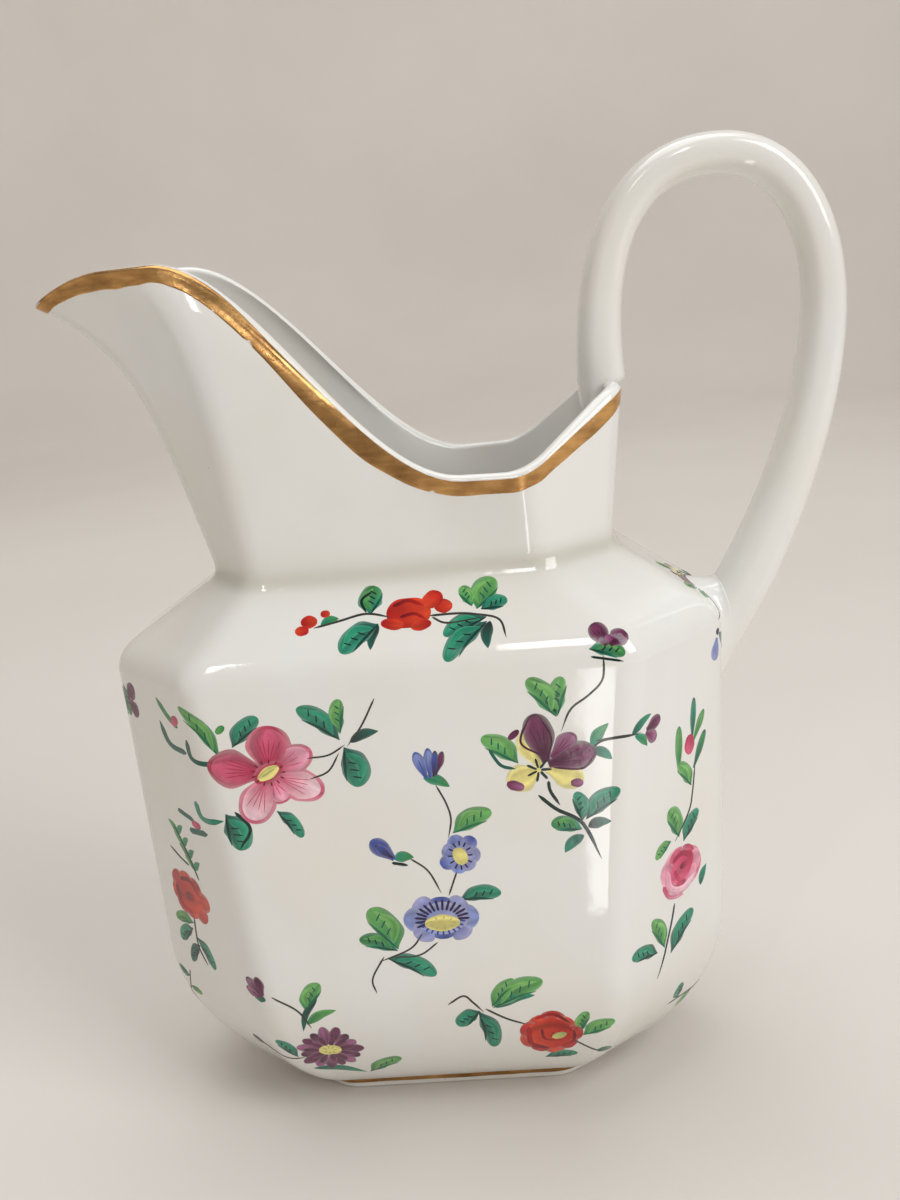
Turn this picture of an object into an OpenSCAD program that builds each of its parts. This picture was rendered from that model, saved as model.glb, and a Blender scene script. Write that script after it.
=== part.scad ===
// Porcelain cream jug: an eight-sided bowl with a sloping shoulder, a neck drawn out
// into a helmet-shaped spout, a high loop handle and two gilt lines.
// Millimetres. +Z is up, the origin is the middle of the foot's underside,
// the spout points along -X and the handle stands at +X.

/* [Foot] */
// Length of the foot ring along X
foot_l = 52; // [48:1:56]
// Width of the foot ring along Y
foot_w = 27; // [25:1:30]
// Height of the foot ring
foot_h = 2.2; // [1.8:0.1:2.8]
// Width of the ring the jug stands on
foot_band = 3.5; // [3:0.1:4]

/* [Bowl] */
// Length of the bowl along X at the shoulder
bowl_l = 100; // [97:1:104]
// Width of the bowl along Y at the shoulder
bowl_w = 56; // [53:1:60]
// Length of each broad side panel at the shoulder
panel_l = 68.5; // [65:0.5:72]
// Width of each end panel
end_w = 19; // [17:1:21]
// Height at which the undercut of the bowl begins
belly_z = 28; // [26:1:30]
// Height of the shoulder edge
shoulder_z = 81; // [79:1:83]
// Thickness of the bowl's wall
bowl_wall = 3; // [2.6:0.1:3.4]

/* [Neck and spout] */
// Height at which the neck is joined to the bowl
neck_z = 93; // [92:0.5:94]
// Length of the neck along X at its foot
neck_l = 66; // [64:1:68]
// Width of the neck along Y at its foot
neck_w = 38.5; // [36:0.5:41]
// Height of the lowest point of the rim
rim_low_z = 107.3; // [106:0.1:109]
// Height of the rim along the top of the spout
rim_high_z = 142; // [140:0.1:144]
// Distance from the jug's axis to the tip of the spout
spout_reach = 56.5; // [54:0.5:58]
// Thickness of the neck's wall
neck_wall = 2.5; // [2.2:0.1:2.8]

/* [Handle] */
// Height of the top of the handle's centre line
handle_top_z = 151; // [149:0.5:153]
// Distance from the jug's axis to the outermost point of the centre line
handle_reach = 69; // [67:0.5:71]
// Width of the strap along Y
strap_w = 10; // [9:0.5:11]
// Thickness of the strap at the top of the loop
strap_t = 6.3; // [6:0.1:6.8]

/* [Gilding] */
// Width of the gilt line where the rim is level
rim_gilt_w = 2.1; // [1.4:0.1:2.6]
// Height of the gilt line above the foot
foot_gilt_h = 1.2; // [0.6:0.1:1.6]
// Thickness of the gilding
gilt_t = 0.12; // [0.1:0.01:0.2]

/* [Hidden] */

PORCELAIN = [0.93, 0.92, 0.89];
BISCUIT = [0.90, 0.88, 0.84];
GILT = [0.72, 0.52, 0.24];

// The pieces of a corner, and the intermediate columns on each of the neck's eight flats
CORNER_STEPS = 4;
NECK_FLATS = [1, 3, 12, 6, 1, 6, 12, 3];
BOWL_FLATS = [0, 0, 0, 0, 0, 0, 0, 0];

slab_t = 3;                       // thickness of the floor
floor_z = foot_h + slab_t;        // height of the floor inside the bowl
floor_l = 48;                     // length of the floor slab
floor_w = 25;                     // width of the floor slab
belly_taper = 1.5;                // how much the half length shrinks from the shoulder to the belly
panel_taper = 5.6;                // how much a broad panel's half length shrinks on the way down
belly_thin = 0.6;                 // how much the half width shrinks on the way down
belly_end = 9.2;                  // half the width of an end wall at the belly
foot_end = 8.6;                   // half the width of the foot's ends
foot_cut = 7;                     // how far the foot's corners are cut back along its length
floor_end = 8;                    // half the width of the floor slab's ends
floor_cut = 6.6;                  // how far its corners are cut back
neck_end = 10;                    // half the width of the neck's ends
neck_rear_cut = 11;               // how far the neck's corners are cut back at the rear
neck_front_cut = 9.3;             // and under the spout
neck_set_back = 2;                // how much shorter the neck is under the spout than at the rear
belly_round = 0.7;                // fullness of the undercut: 0.5 would be a quarter ellipse
shoulder_r = 3.2;                 // reach of the rounding along the shoulder edge
edge_r = 3;                       // reach of the rounding on the upright edges
foot_r = 2;                       // the same on the foot
neck_r = 3;                       // the same on the neck
lip_h = 1;                        // height of the rounded lip
rim_rear_x = 35.6;                // outer face of the rim under the handle
rim_rear_slope = 0.7;             // rise of the rim on its way to the handle
rim_rear_from = 17;               // where that rise begins
rim_sweep_from = 10.5;            // where the rim begins to rise towards the spout
rim_sweep_to = -35;               // where it reaches the top of the spout
spout_drop_from = 43;             // where the rim begins to drop towards the tip
spout_drop = 0.021;               // how sharply it drops
slip_half_w = 4.4;                // half the width of the slip fillets
upper_slip_out = 4;               // how far the upper fillet runs down the outside of the neck
upper_slip_in = 5.5;              // and down the inside
lower_slip_up = 2.2;              // how far the lower fillet rises above the shoulder edge

// ---- outlines: four numbers give an octagon [tip x, tip y, panel x, panel y] ----

function mix(a, b, t) = a + (b - a) * t;
function unit(v) = v / norm(v);
function bezier2(a, b, c, t) = mix(mix(a, b, t), mix(b, c, t), t);
function bezier3(p, t) = mix(bezier2(p[0], p[1], p[2], t), bezier2(p[1], p[2], p[3], t), t);

// Corners of a plan outline, anticlockwise, from its rear half and its front (spout) half
function corners(rear, front) = [
    [rear[0], -rear[1]], [rear[0], rear[1]], [rear[2], rear[3]], [-front[2], front[3]],
    [-front[0], front[1]], [-front[0], -front[1]], [-front[2], -front[3]], [rear[2], -rear[3]]
];

// Reach of the rounding at corner i, never more than 0.45 of the shorter side beside it
function reach(c, i, r) = let (n = len(c), here = c[i])
    min(r, 0.45 * norm(here - c[(i + 1) % n]), 0.45 * norm(here - c[(i + n - 1) % n]));

function corner_points(c, i, r) = let (
        n = len(c),
        here = c[i],
        q = reach(c, i, r),
        from = here + q * unit(c[(i + n - 1) % n] - here),
        to = here + q * unit(c[(i + 1) % n] - here)
    )
    [for (k = [0:CORNER_STEPS]) bezier2(from, here, to, k / CORNER_STEPS)];

// A rounded outline: the points of each corner, then the extra points of the flat after it
function outline(c, r, flats) = let (rounds = [for (i = [0:7]) corner_points(c, i, r)]) [
    for (i = [0:7]) each concat(rounds[i], [
        for (k = [1:1:flats[i]])
            mix(rounds[i][CORNER_STEPS], rounds[(i + 1) % 8][0], k / (flats[i] + 1))
    ])
];

// ---- the bowl ----

function belly_share(z, bottom) = z >= belly_z ? 1
    : pow(max(0, 1 - pow((belly_z - z) / (belly_z - bottom), 2)), belly_round);
function wall_share(z) = max(0, (z - belly_z) / (shoulder_z - belly_z));

// Half sizes of the bowl's outer outline at height z below the shoulder
function bowl_at(z) = let (e = belly_share(z, foot_h), w = wall_share(z)) [
    mix(foot_l / 2, mix(bowl_l / 2 - belly_taper, bowl_l / 2, w), e),
    mix(foot_end, mix(belly_end, end_w / 2, w), e),
    mix(foot_l / 2 - foot_cut, mix(panel_l / 2 - panel_taper, panel_l / 2, w), e),
    mix(foot_w / 2, mix(bowl_w / 2 - belly_thin, bowl_w / 2, w), e)
];
function inset(h, t) = [h[0] - t, h[1] - 0.35 * t, h[2] - 0.45 * t, h[3] - t];

foot_half = bowl_at(foot_h);
floor_half = [floor_l / 2, floor_end, floor_l / 2 - floor_cut, floor_w / 2];
shoulder_half = bowl_at(shoulder_z);
neck_rear = [neck_l / 2, neck_end, neck_l / 2 - neck_rear_cut, neck_w / 2];
neck_front = [neck_l / 2 - neck_set_back, neck_end, neck_l / 2 - neck_front_cut, neck_w / 2];

function bowl_inner_at(z) = let (e = belly_share(z, floor_z))
    [for (i = [0:3]) mix(floor_half[i], inset(bowl_at(max(z, belly_z)), bowl_wall)[i], e)];

function level(points, z) = [for (p = points) [p[0], p[1], z]];
function bowl_ring(h, r, z) = level(outline(corners(h, h), r, BOWL_FLATS), z);

// An outline between the shoulder (t = 1) and the foot of the neck (t = 0)
function shoulder_ring(t, z, drop_t) = level(outline(corners(
    [for (i = [0:3]) mix(inset(neck_rear, drop_t)[i], inset(shoulder_half, drop_t)[i], t)],
    [for (i = [0:3]) mix(inset(neck_front, drop_t)[i], inset(shoulder_half, drop_t)[i], t)]
), mix(neck_r, edge_r, t), BOWL_FLATS), z);

BELLY_STEPS = 8;
ROUND_STEPS = 4;
NECK_STEPS = 8;
shoulder_start = 1 - shoulder_r / (bowl_l / 2 - neck_l / 2);
shoulder_start_z = mix(neck_z, shoulder_z, shoulder_start);

// The bowl ends level where the rounding of the shoulder edge begins
joint_z = shoulder_z - shoulder_r;

function bowl_outer() = concat(
    [for (k = [0:BELLY_STEPS]) let (z = belly_z - (belly_z - foot_h) * cos(90 * k / BELLY_STEPS))
        bowl_ring(bowl_at(z), mix(foot_r, edge_r, belly_share(z, foot_h)), z)],
    [bowl_ring(bowl_at((belly_z + joint_z) / 2), edge_r, (belly_z + joint_z) / 2)],
    [bowl_ring(bowl_at(joint_z), edge_r, joint_z)]
);

function bowl_inner() = concat(
    [bowl_ring(bowl_inner_at(joint_z), edge_r, joint_z)],
    [for (k = [BELLY_STEPS:-1:0]) let (z = belly_z - (belly_z - floor_z) * cos(90 * k / BELLY_STEPS))
        bowl_ring(bowl_inner_at(z), mix(foot_r, edge_r, belly_share(z, floor_z)), z)],
    [bowl_ring(floor_half, foot_r, foot_h)]
);

function shoulder_outer() = concat(
    [for (k = [0:ROUND_STEPS]) let (
            p = bezier2([1, joint_z], [1, shoulder_z], [shoulder_start, shoulder_start_z], k / ROUND_STEPS)
        ) k == 0 ? bowl_ring(bowl_at(joint_z), edge_r, joint_z) : shoulder_ring(p[0], p[1], 0)],
    [shoulder_ring(0, neck_z, 0)]
);

function shoulder_inner() = [
    shoulder_ring(0, neck_z, neck_wall),
    shoulder_ring(0, neck_z - 2.4, neck_wall),
    shoulder_ring(0.9, shoulder_z - 1.6, bowl_wall),
    bowl_ring(bowl_inner_at(joint_z), edge_r, joint_z)
];

// A closed wall: rings joined in order, and the last one back to the first
module ring_wall(rings) {
    rows = len(rings);
    cols = len(rings[0]);
    function at(i, j) = (i % rows) * cols + j % cols;
    polyhedron(
        points = [for (ring = rings) each ring],
        faces = [for (i = [0:rows - 1], j = [0:cols - 1]) each [
            [at(i, j), at(i + 1, j), at(i + 1, j + 1)],
            [at(i, j), at(i + 1, j + 1), at(i, j + 1)]
        ]]
    );
}

module bowl() {
    color(PORCELAIN) ring_wall(concat(bowl_outer(), bowl_inner()));
}

module shoulder() {
    color(PORCELAIN) ring_wall(concat(shoulder_outer(), shoulder_inner()));
}

module floor_slab() {
    color(BISCUIT) translate([0, 0, foot_h]) linear_extrude(slab_t)
        polygon(outline(corners(floor_half, floor_half), foot_r, BOWL_FLATS));
}

module foot_ring() {
    inner = inset(foot_half, foot_band);
    color(PORCELAIN) linear_extrude(foot_h) difference() {
        polygon(outline(corners(foot_half, foot_half), foot_r, BOWL_FLATS));
        polygon(outline(corners(inner, inner), foot_r, BOWL_FLATS));
    }
}

// ---- the neck and spout ----

rim_rear = [rim_rear_x, 13, 20.7, 22.3];
rim_front = [spout_reach, 2.6, 36, 11.8];

function smooth(t) = let (s = min(1, max(0, t))) s * s * (3 - 2 * s);
function soft_ramp(d, r) = d < 0 ? 0 : d < r ? d * d / (2 * r) : d - r / 2;
function rim_z(x) = rim_low_z
    + (rim_high_z - rim_low_z) * smooth((rim_sweep_from - x) / (rim_sweep_from - rim_sweep_to))
    + rim_rear_slope * soft_ramp(x - rim_rear_from, 6)
    - spout_drop * pow(max(0, -x - spout_drop_from), 2);

// How far a point has moved out towards the rim: late and fast on the spout, evenly at the rear
function spout_flare(v) = 0.5 * v + 0.5 * pow(max(v, 0), 6);
function spout_side(x) = smooth((20 - x) / 40);
function flare(v, x) = mix(v, spout_flare(v), spout_side(x));

neck_foot = outline(corners(neck_rear, neck_front), neck_r, NECK_FLATS);
neck_foot_in = outline(corners(inset(neck_rear, neck_wall), inset(neck_front, neck_wall)),
                       neck_r, NECK_FLATS);
rim_out = outline(corners(rim_rear, rim_front), neck_r, NECK_FLATS);
rim_in = outline(corners(inset(rim_rear, neck_wall),
                         [rim_front[0] - 1.7 * neck_wall, 1.4,
                          rim_front[2] - 1.1, rim_front[3] - neck_wall]),
                 neck_r, NECK_FLATS);

// A point of the neck's wall in column j, between a foot and a rim outline, at drop below the lip
function lip_start(j) = rim_z(rim_out[j][0]) - lip_h;
function wall_point(foot, rim, j, drop) = let (
        z = lip_start(j) - drop,
        p = mix(foot[j], rim[j], flare((z - neck_z) / (lip_start(j) - neck_z), rim_out[j][0]))
    ) [p[0], p[1], z];

// The gilt line is wider where the rim is steep. Its lower edge is found on each column as
// the drop at which the wall has come a gilt width away from the line of the rim.
function rim_slope(x) = rim_z(x + 0.5) - rim_z(x - 0.5);
function gilt_width(x) = rim_gilt_w * (1 + 0.35 * pow(rim_slope(x), 2));
function rim_point(j) = wall_point(neck_foot, rim_out, (j + len(rim_out)) % len(rim_out), 0);
function from_rim(j, drop) = norm(cross(
    wall_point(neck_foot, rim_out, j, drop) - rim_point(j), unit(rim_point(j + 1) - rim_point(j - 1))));
function gilt_drop(j, low, high, steps) = let (middle = (low + high) / 2)
    steps == 0 ? middle
    : from_rim(j, middle) < gilt_width(rim_out[j][0]) ? gilt_drop(j, middle, high, steps - 1)
    : gilt_drop(j, low, middle, steps - 1);
gilt_drops = [for (j = [0:len(rim_out) - 1]) gilt_drop(j, 0.3, 10, 14)];

// v = 0 is the foot of the neck, v = 1 the lower edge of the gilt line, v = 2 the start of the lip
function neck_point(foot, rim, j, v) = wall_point(foot, rim, j, v <= 1
    ? mix(lip_start(j) - neck_z, gilt_drops[j], v) : gilt_drops[j] * (2 - v));
function neck_ring(foot, rim, v) = [for (j = [0:len(foot) - 1]) neck_point(foot, rim, j, v)];

// The rounded lip between the outer and the inner edge
function lip_ring(a) = [for (j = [0:len(rim_out) - 1]) let (
        p = mix(rim_out[j], rim_in[j], (1 - cos(a)) / 2)
    ) [p[0], p[1], rim_z(rim_out[j][0]) - lip_h + lip_h * sin(a)]];

module neck_and_spout() {
    color(PORCELAIN) ring_wall(concat(
        [for (k = [0:NECK_STEPS]) neck_ring(neck_foot, rim_out, k / NECK_STEPS)],
        [for (v = [1.25:0.25:2]) neck_ring(neck_foot, rim_out, v)],
        [for (a = [45:45:135]) lip_ring(a)],
        [neck_ring(neck_foot_in, rim_in, 2)],
        [for (k = [NECK_STEPS:-1:0]) neck_ring(neck_foot_in, rim_in, k / NECK_STEPS)]
    ));
}

// ---- the handle ----

// Centre line in the XZ plane: up from the rim, over the top, and down to the shoulder
handle_path = [
    [[33.4, 118], [32.8, 136], [37.5, handle_top_z], [52.5, handle_top_z]],
    [[52.5, handle_top_z], [63.5, handle_top_z], [handle_reach, 141], [handle_reach, 128]],
    [[handle_reach, 128], [handle_reach, 113], [61.5, 93], [51.4, 77]]
];
HANDLE_STEPS = 10;
SECTION_SIDES = 16;
handle_line = [
    for (s = [0:2], k = [(s == 0 ? 0 : 1):HANDLE_STEPS]) bezier3(handle_path[s], k / HANDLE_STEPS)
];
handle_n = len(handle_line);
function handle_dir(i) = unit(handle_line[min(i + 1, handle_n - 1)] - handle_line[max(i - 1, 0)]);

// A superellipse section: u across the thickness, w across the width
function squircle(a, n) = let (c = cos(a), s = sin(a))
    [sign(c) * pow(abs(c), 2 / n), sign(s) * pow(abs(s), 2 / n)];
// The strap thickens towards both ends, where it is luted on
function strap_growth(i) = let (t = i / (handle_n - 1))
    0.22 * pow(max(0, 1 - t / 0.2), 2) + 0.44 * pow(max(0, (t - 0.45) / 0.55), 2.6);

function handle_section(i) = let (
        d = handle_dir(i),
        across = [-d[1], d[0]],
        half_t = strap_t / 2 * (1 + strap_growth(i)),
        half_w = strap_w / 2 * (1 + 0.4 * strap_growth(i))
    ) [for (j = [0:SECTION_SIDES - 1]) let (
        q = squircle(360 * j / SECTION_SIDES, 2.6),
        p = handle_line[i] + across * q[0] * half_t
    ) [p[0], q[1] * half_w, p[1]]];

// The ends are cut to what they stand on: the top of the rim, and the end wall of the bowl,
// which leans by end_lean and lies at end_wall_x(z)
root_z = rim_z(rim_rear_x);
end_lean = belly_taper / (shoulder_z - belly_z);
function end_wall_x(z) = bowl_l / 2 - end_lean * (shoulder_z - z);
function flat_end(ring) = [for (p = ring) [p[0], p[1], root_z]];
function wall_end(ring, d) = [for (p = ring) let (
        run = (end_wall_x(p[2]) - p[0]) / (d[0] - end_lean * d[1])
    ) p + run * [d[0], 0, d[1]]];

module tube(rings) {
    rows = len(rings);
    cols = len(rings[0]);
    function at(i, j) = i * cols + j % cols;
    polyhedron(
        points = [for (ring = rings) each ring],
        faces = concat(
            [[for (j = [0:cols - 1]) j]],
            [for (i = [0:rows - 2], j = [0:cols - 1]) each [
                [at(i, j), at(i + 1, j), at(i + 1, j + 1)],
                [at(i, j), at(i + 1, j + 1), at(i, j + 1)]
            ]],
            [[for (j = [cols - 1:-1:0]) at(rows - 1, j)]]
        )
    );
}

module handle() {
    last = handle_n - 1;
    color(PORCELAIN) tube(concat(
        [flat_end(handle_section(0))],
        [for (i = [1:last - 1]) handle_section(i)],
        [wall_end(handle_section(last), handle_dir(last))]
    ));
}

// ---- the slip that lutes the handle on: fillets drawn in the XZ plane ----

module fillet(points, half_w) {
    translate([0, half_w, 0]) rotate([90, 0, 0]) linear_extrude(2 * half_w) polygon(points);
}

// Outer and inner face of the rear wall at height z, and the lip on top of it
lip_z = root_z - lip_h;
function rear_wall_x(z) = mix(neck_l / 2, rim_rear_x, (z - neck_z) / (lip_z - neck_z));
function rear_lip(a) = [rim_rear_x - neck_wall * (1 - cos(a)) / 2, lip_z + lip_h * sin(a)];

module upper_handle_slip() {
    root_half = strap_t / 2 * (1 + strap_growth(0));
    root_x = handle_line[0][0];
    out_z = root_z - upper_slip_out;
    in_z = root_z - upper_slip_in;
    color(PORCELAIN) {
        fillet([[rear_wall_x(out_z), out_z], [root_x + root_half, root_z], rear_lip(90),
                rear_lip(45), rear_lip(0)], slip_half_w);
        fillet([[rear_wall_x(in_z) - neck_wall, in_z], rear_lip(180), rear_lip(135), rear_lip(90),
                [root_x - root_half, root_z]], slip_half_w);
    }
}

module lower_handle_slip() {
    top_z = shoulder_z + lower_slip_up;
    rounding = [for (k = [ROUND_STEPS:-1:0]) bezier2(
        [bowl_l / 2, joint_z], [bowl_l / 2, shoulder_z],
        [bowl_l / 2 - shoulder_r, shoulder_start_z], k / ROUND_STEPS)];
    color(PORCELAIN) fillet(concat(
        [for (p = rounding) p[1] > joint_z ? p : [end_wall_x(joint_z), joint_z]],
        [[end_wall_x(top_z), top_z]]
    ), slip_half_w);
}

// ---- gilding ----

module rim_gilding() {
    skin = outline(corners(inset(rim_rear, -gilt_t), inset(rim_front, -gilt_t)), neck_r, NECK_FLATS);
    base = outline(corners(inset(neck_rear, -gilt_t), inset(neck_front, -gilt_t)),
                   neck_r, NECK_FLATS);
    color(GILT) ring_wall(concat(
        [for (v = [1:0.25:2]) neck_ring(base, skin, v)],
        [for (v = [2:-0.25:1]) neck_ring(neck_foot, rim_out, v)]
    ));
}

module foot_gilding() {
    skin = inset(foot_half, -gilt_t);
    color(GILT) translate([0, 0, foot_h - foot_gilt_h]) linear_extrude(foot_gilt_h) difference() {
        polygon(outline(corners(skin, skin), foot_r, BOWL_FLATS));
        polygon(outline(corners(foot_half, foot_half), foot_r, BOWL_FLATS));
    }
}

bowl();
shoulder();
floor_slab();
foot_ring();
neck_and_spout();
handle();
upper_handle_slip();
lower_handle_slip();
rim_gilding();
foot_gilding();
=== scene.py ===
"""Porcelain cream jug: a glazed eight-sided bowl, helmet-shaped spout, high loop handle,
two gilt lines and flower sprays painted over the glaze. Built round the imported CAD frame."""

import math

import bpy
import numpy as np
from mathutils import Matrix, Vector
from mathutils.bvhtree import BVHTree


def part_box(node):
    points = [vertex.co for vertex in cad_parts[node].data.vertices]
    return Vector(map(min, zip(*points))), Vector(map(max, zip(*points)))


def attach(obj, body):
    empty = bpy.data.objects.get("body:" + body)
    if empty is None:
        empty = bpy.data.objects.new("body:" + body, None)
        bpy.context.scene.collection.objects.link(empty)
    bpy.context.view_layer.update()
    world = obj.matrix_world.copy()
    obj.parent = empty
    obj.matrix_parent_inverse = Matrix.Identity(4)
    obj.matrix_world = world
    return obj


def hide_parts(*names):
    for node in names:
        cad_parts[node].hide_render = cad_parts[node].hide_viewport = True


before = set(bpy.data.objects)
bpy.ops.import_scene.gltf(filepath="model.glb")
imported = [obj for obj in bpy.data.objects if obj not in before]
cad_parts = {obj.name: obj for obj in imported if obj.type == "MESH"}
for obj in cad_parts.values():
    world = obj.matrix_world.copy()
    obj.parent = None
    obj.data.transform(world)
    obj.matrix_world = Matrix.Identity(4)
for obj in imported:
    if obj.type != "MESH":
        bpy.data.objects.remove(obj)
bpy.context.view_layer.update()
MM = 0.001
rng = np.random.default_rng(7)


def node_box(node):
    """A CAD node's lowest and highest corners, in millimetres."""
    return np.array(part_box(node)) / MM


def node_size(node):
    low, high = node_box(node)
    return high - low


# ---- sizes in millimetres: first what the frame's boxes give, then the CAD's other values ----

FOOT_L, FOOT_W, FOOT_H = node_size("foot_ring")
FLOOR_L, FLOOR_W, SLAB_T = node_size("floor_slab")
NECK_Z = node_box("shoulder")[1][2]
RIM_HIGH = node_box("neck_and_spout")[1][2]

FOOT_BAND = 3.5
BOWL_L, BOWL_W, PANEL_L, END_W = 100, 56, 68.5, 19
BELLY_Z, SHOULDER_Z, BOWL_WALL = 28, 81, 3
BELLY_TAPER, PANEL_TAPER, BELLY_ROUND = 1.5, 5.6, 0.7
SHOULDER_R, EDGE_R, FOOT_R = 3.2, 3, 2
NECK_L, NECK_W, NECK_WALL, NECK_R = 66, 38.5, 2.5, 3
RIM_LOW, RIM_REAR_X, SPOUT_REACH, LIP_H = 107.3, 35.6, 56.5, 1
HANDLE_TOP, HANDLE_REACH, STRAP_W, STRAP_T = 151, 69, 10, 6.3
RIM_GILT_W, FOOT_GILT_H, GILT_T = 2.1, 1.2, 0.12
FLOOR_Z = FOOT_H + SLAB_T
JOINT_Z = SHOULDER_Z - SHOULDER_R
# Half widths of the ends, and how far corners are cut back, at the foot, floor, belly and neck
FOOT_END, FOOT_CUT = 8.6, 7
FLOOR_END, FLOOR_CUT = 8, 6.6
BELLY_END, BELLY_THIN = 9.2, 0.6
NECK_END, NECK_REAR_CUT, NECK_FRONT_CUT, NECK_SET_BACK = 10, 11, 9.3, 2
# Where the rim begins to rise towards the spout, tops out, drops to the tip, and rises behind
SWEEP_FROM, SWEEP_TO, DROP_FROM, DROP = 10.5, -35, 43, 0.021
REAR_FROM, REAR_SLOPE, REAR_EASE = 17, 0.7, 6
WALL_WAVE = 0.09    # how far the uneven wall is drawn in at most
FILLET = 2.4        # reach of the soft glaze-filled angle where the neck leaves the shoulder

# Points round one corner of an outline, and the extra points along each of its eight sides
CORNER_STEPS = 8
FLATS = (5, 9, 27, 15, 3, 15, 27, 9)


def mix(a, b, t):
    return a + (b - a) * t


def smooth(t):
    s = np.clip(t, 0, 1)
    return s * s * (3 - 2 * s)


# ---- outlines: four numbers give an octagon (tip x, tip y, panel x, panel y) ----

def corners(rear, front):
    return np.array([
        (rear[0], -rear[1]), (rear[0], rear[1]), (rear[2], rear[3]), (-front[2], front[3]),
        (-front[0], front[1]), (-front[0], -front[1]), (-front[2], -front[3]), (rear[2], -rear[3]),
    ], float)


def outline(rear, front, r):
    """A rounded octagon, anticlockwise, with its columns in the same order for every outline."""
    c = corners(rear, front)
    rounds = []
    for i in range(8):
        before, after = c[i - 1] - c[i], c[(i + 1) % 8] - c[i]
        q = min(r, 0.45 * np.linalg.norm(before), 0.45 * np.linalg.norm(after))
        start = c[i] + q * before / np.linalg.norm(before)
        end = c[i] + q * after / np.linalg.norm(after)
        t = np.linspace(0, 1, CORNER_STEPS + 1)[:, None]
        rounds.append(mix(mix(start, c[i], t), mix(c[i], end, t), t))
    points = []
    for i in range(8):
        points.extend(rounds[i])
        start, end = rounds[i][-1], rounds[(i + 1) % 8][0]
        points.extend(mix(start, end, k / (FLATS[i] + 1)) for k in range(1, FLATS[i] + 1))
    return np.array(points)


def level(xy, z):
    return np.column_stack([xy, np.full(len(xy), float(z))])


def inset(half, t):
    return np.array([half[0] - t, half[1] - 0.35 * t, half[2] - 0.45 * t, half[3] - t])


# ---- the bowl and shoulder ----

def belly_share(z, bottom):
    return 1 if z >= BELLY_Z else max(0, 1 - ((BELLY_Z - z) / (BELLY_Z - bottom)) ** 2) ** BELLY_ROUND


def bowl_half(z):
    e, w = belly_share(z, FOOT_H), max(0, (z - BELLY_Z) / (SHOULDER_Z - BELLY_Z))
    return np.array([
        mix(FOOT_L / 2, mix(BOWL_L / 2 - BELLY_TAPER, BOWL_L / 2, w), e),
        mix(FOOT_END, mix(BELLY_END, END_W / 2, w), e),
        mix(FOOT_L / 2 - FOOT_CUT, mix(PANEL_L / 2 - PANEL_TAPER, PANEL_L / 2, w), e),
        mix(FOOT_W / 2, mix(BOWL_W / 2 - BELLY_THIN, BOWL_W / 2, w), e),
    ])


foot_half = bowl_half(FOOT_H)
floor_half = np.array([FLOOR_L / 2, FLOOR_END, FLOOR_L / 2 - FLOOR_CUT, FLOOR_W / 2])
shoulder_half = bowl_half(SHOULDER_Z)
neck_rear = np.array([NECK_L / 2, NECK_END, NECK_L / 2 - NECK_REAR_CUT, NECK_W / 2])
neck_front = np.array([NECK_L / 2 - NECK_SET_BACK, NECK_END, NECK_L / 2 - NECK_FRONT_CUT, NECK_W / 2])


def bowl_inner_half(z):
    e = belly_share(z, FLOOR_Z)
    return mix(floor_half, inset(bowl_half(max(z, BELLY_Z)), BOWL_WALL), e)


def bowl_ring(half, r, z):
    return level(outline(half, half, r), z)


def shoulder_ring(t, z, drop=0):
    """Between the foot of the neck (t = 0) and the shoulder edge (t = 1)."""
    half = inset(shoulder_half, drop)
    return level(outline(mix(inset(neck_rear, drop), half, t), mix(inset(neck_front, drop), half, t),
                         mix(NECK_R, EDGE_R, t)), z)


def bezier2(a, b, c, t):
    return mix(mix(a, b, t), mix(b, c, t), t)


# ---- the neck and spout ----

rim_rear = np.array([RIM_REAR_X, 13, 20.7, 22.3])
rim_front = np.array([SPOUT_REACH, 2.6, 36, 11.8])


def rim_z(x):
    over = np.maximum(x - REAR_FROM, 0)
    ramp = np.where(over < REAR_EASE, over * over / (2 * REAR_EASE), over - REAR_EASE / 2)
    sweep = smooth((SWEEP_FROM - x) / (SWEEP_FROM - SWEEP_TO))
    return (RIM_LOW + (RIM_HIGH - RIM_LOW) * sweep + REAR_SLOPE * ramp
            - DROP * np.maximum(0, -x - DROP_FROM) ** 2)


foot_out = outline(neck_rear, neck_front, NECK_R)
foot_in = outline(inset(neck_rear, NECK_WALL), inset(neck_front, NECK_WALL), NECK_R)
rim_out = outline(rim_rear, rim_front, NECK_R)
rim_in = outline(inset(rim_rear, NECK_WALL),
                 (SPOUT_REACH - 1.7 * NECK_WALL, 1.4, rim_front[2] - 1.1, rim_front[3] - NECK_WALL),
                 NECK_R)
lip_z = rim_z(rim_out[:, 0]) - LIP_H
spout_side = smooth((20 - rim_out[:, 0]) / 40)


def wall_ring(foot, rim, drop):
    """The neck's wall at the given drop below the lip, late and fast to flare on the spout."""
    rise = (lip_z - drop - NECK_Z) / (lip_z - NECK_Z)
    share = mix(rise, 0.5 * rise + 0.5 * np.maximum(rise, 0) ** 6, spout_side)
    return np.column_stack([mix(foot, rim, share[:, None]), lip_z - drop])


def drop_to(width):
    """The drop at which each column has come a width away from the line of the rim."""
    rim = wall_ring(foot_out, rim_out, 0)
    along = np.roll(rim, -1, axis=0) - np.roll(rim, 1, axis=0)
    along /= np.linalg.norm(along, axis=1, keepdims=True)
    low, high = np.full(len(rim), 0.1), np.full(len(rim), 11.0)
    for _ in range(20):
        middle = (low + high) / 2
        away = np.linalg.norm(np.cross(wall_ring(foot_out, rim_out, middle) - rim, along), axis=1)
        low, high = np.where(away < width, middle, low), np.where(away < width, high, middle)
    return middle


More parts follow.
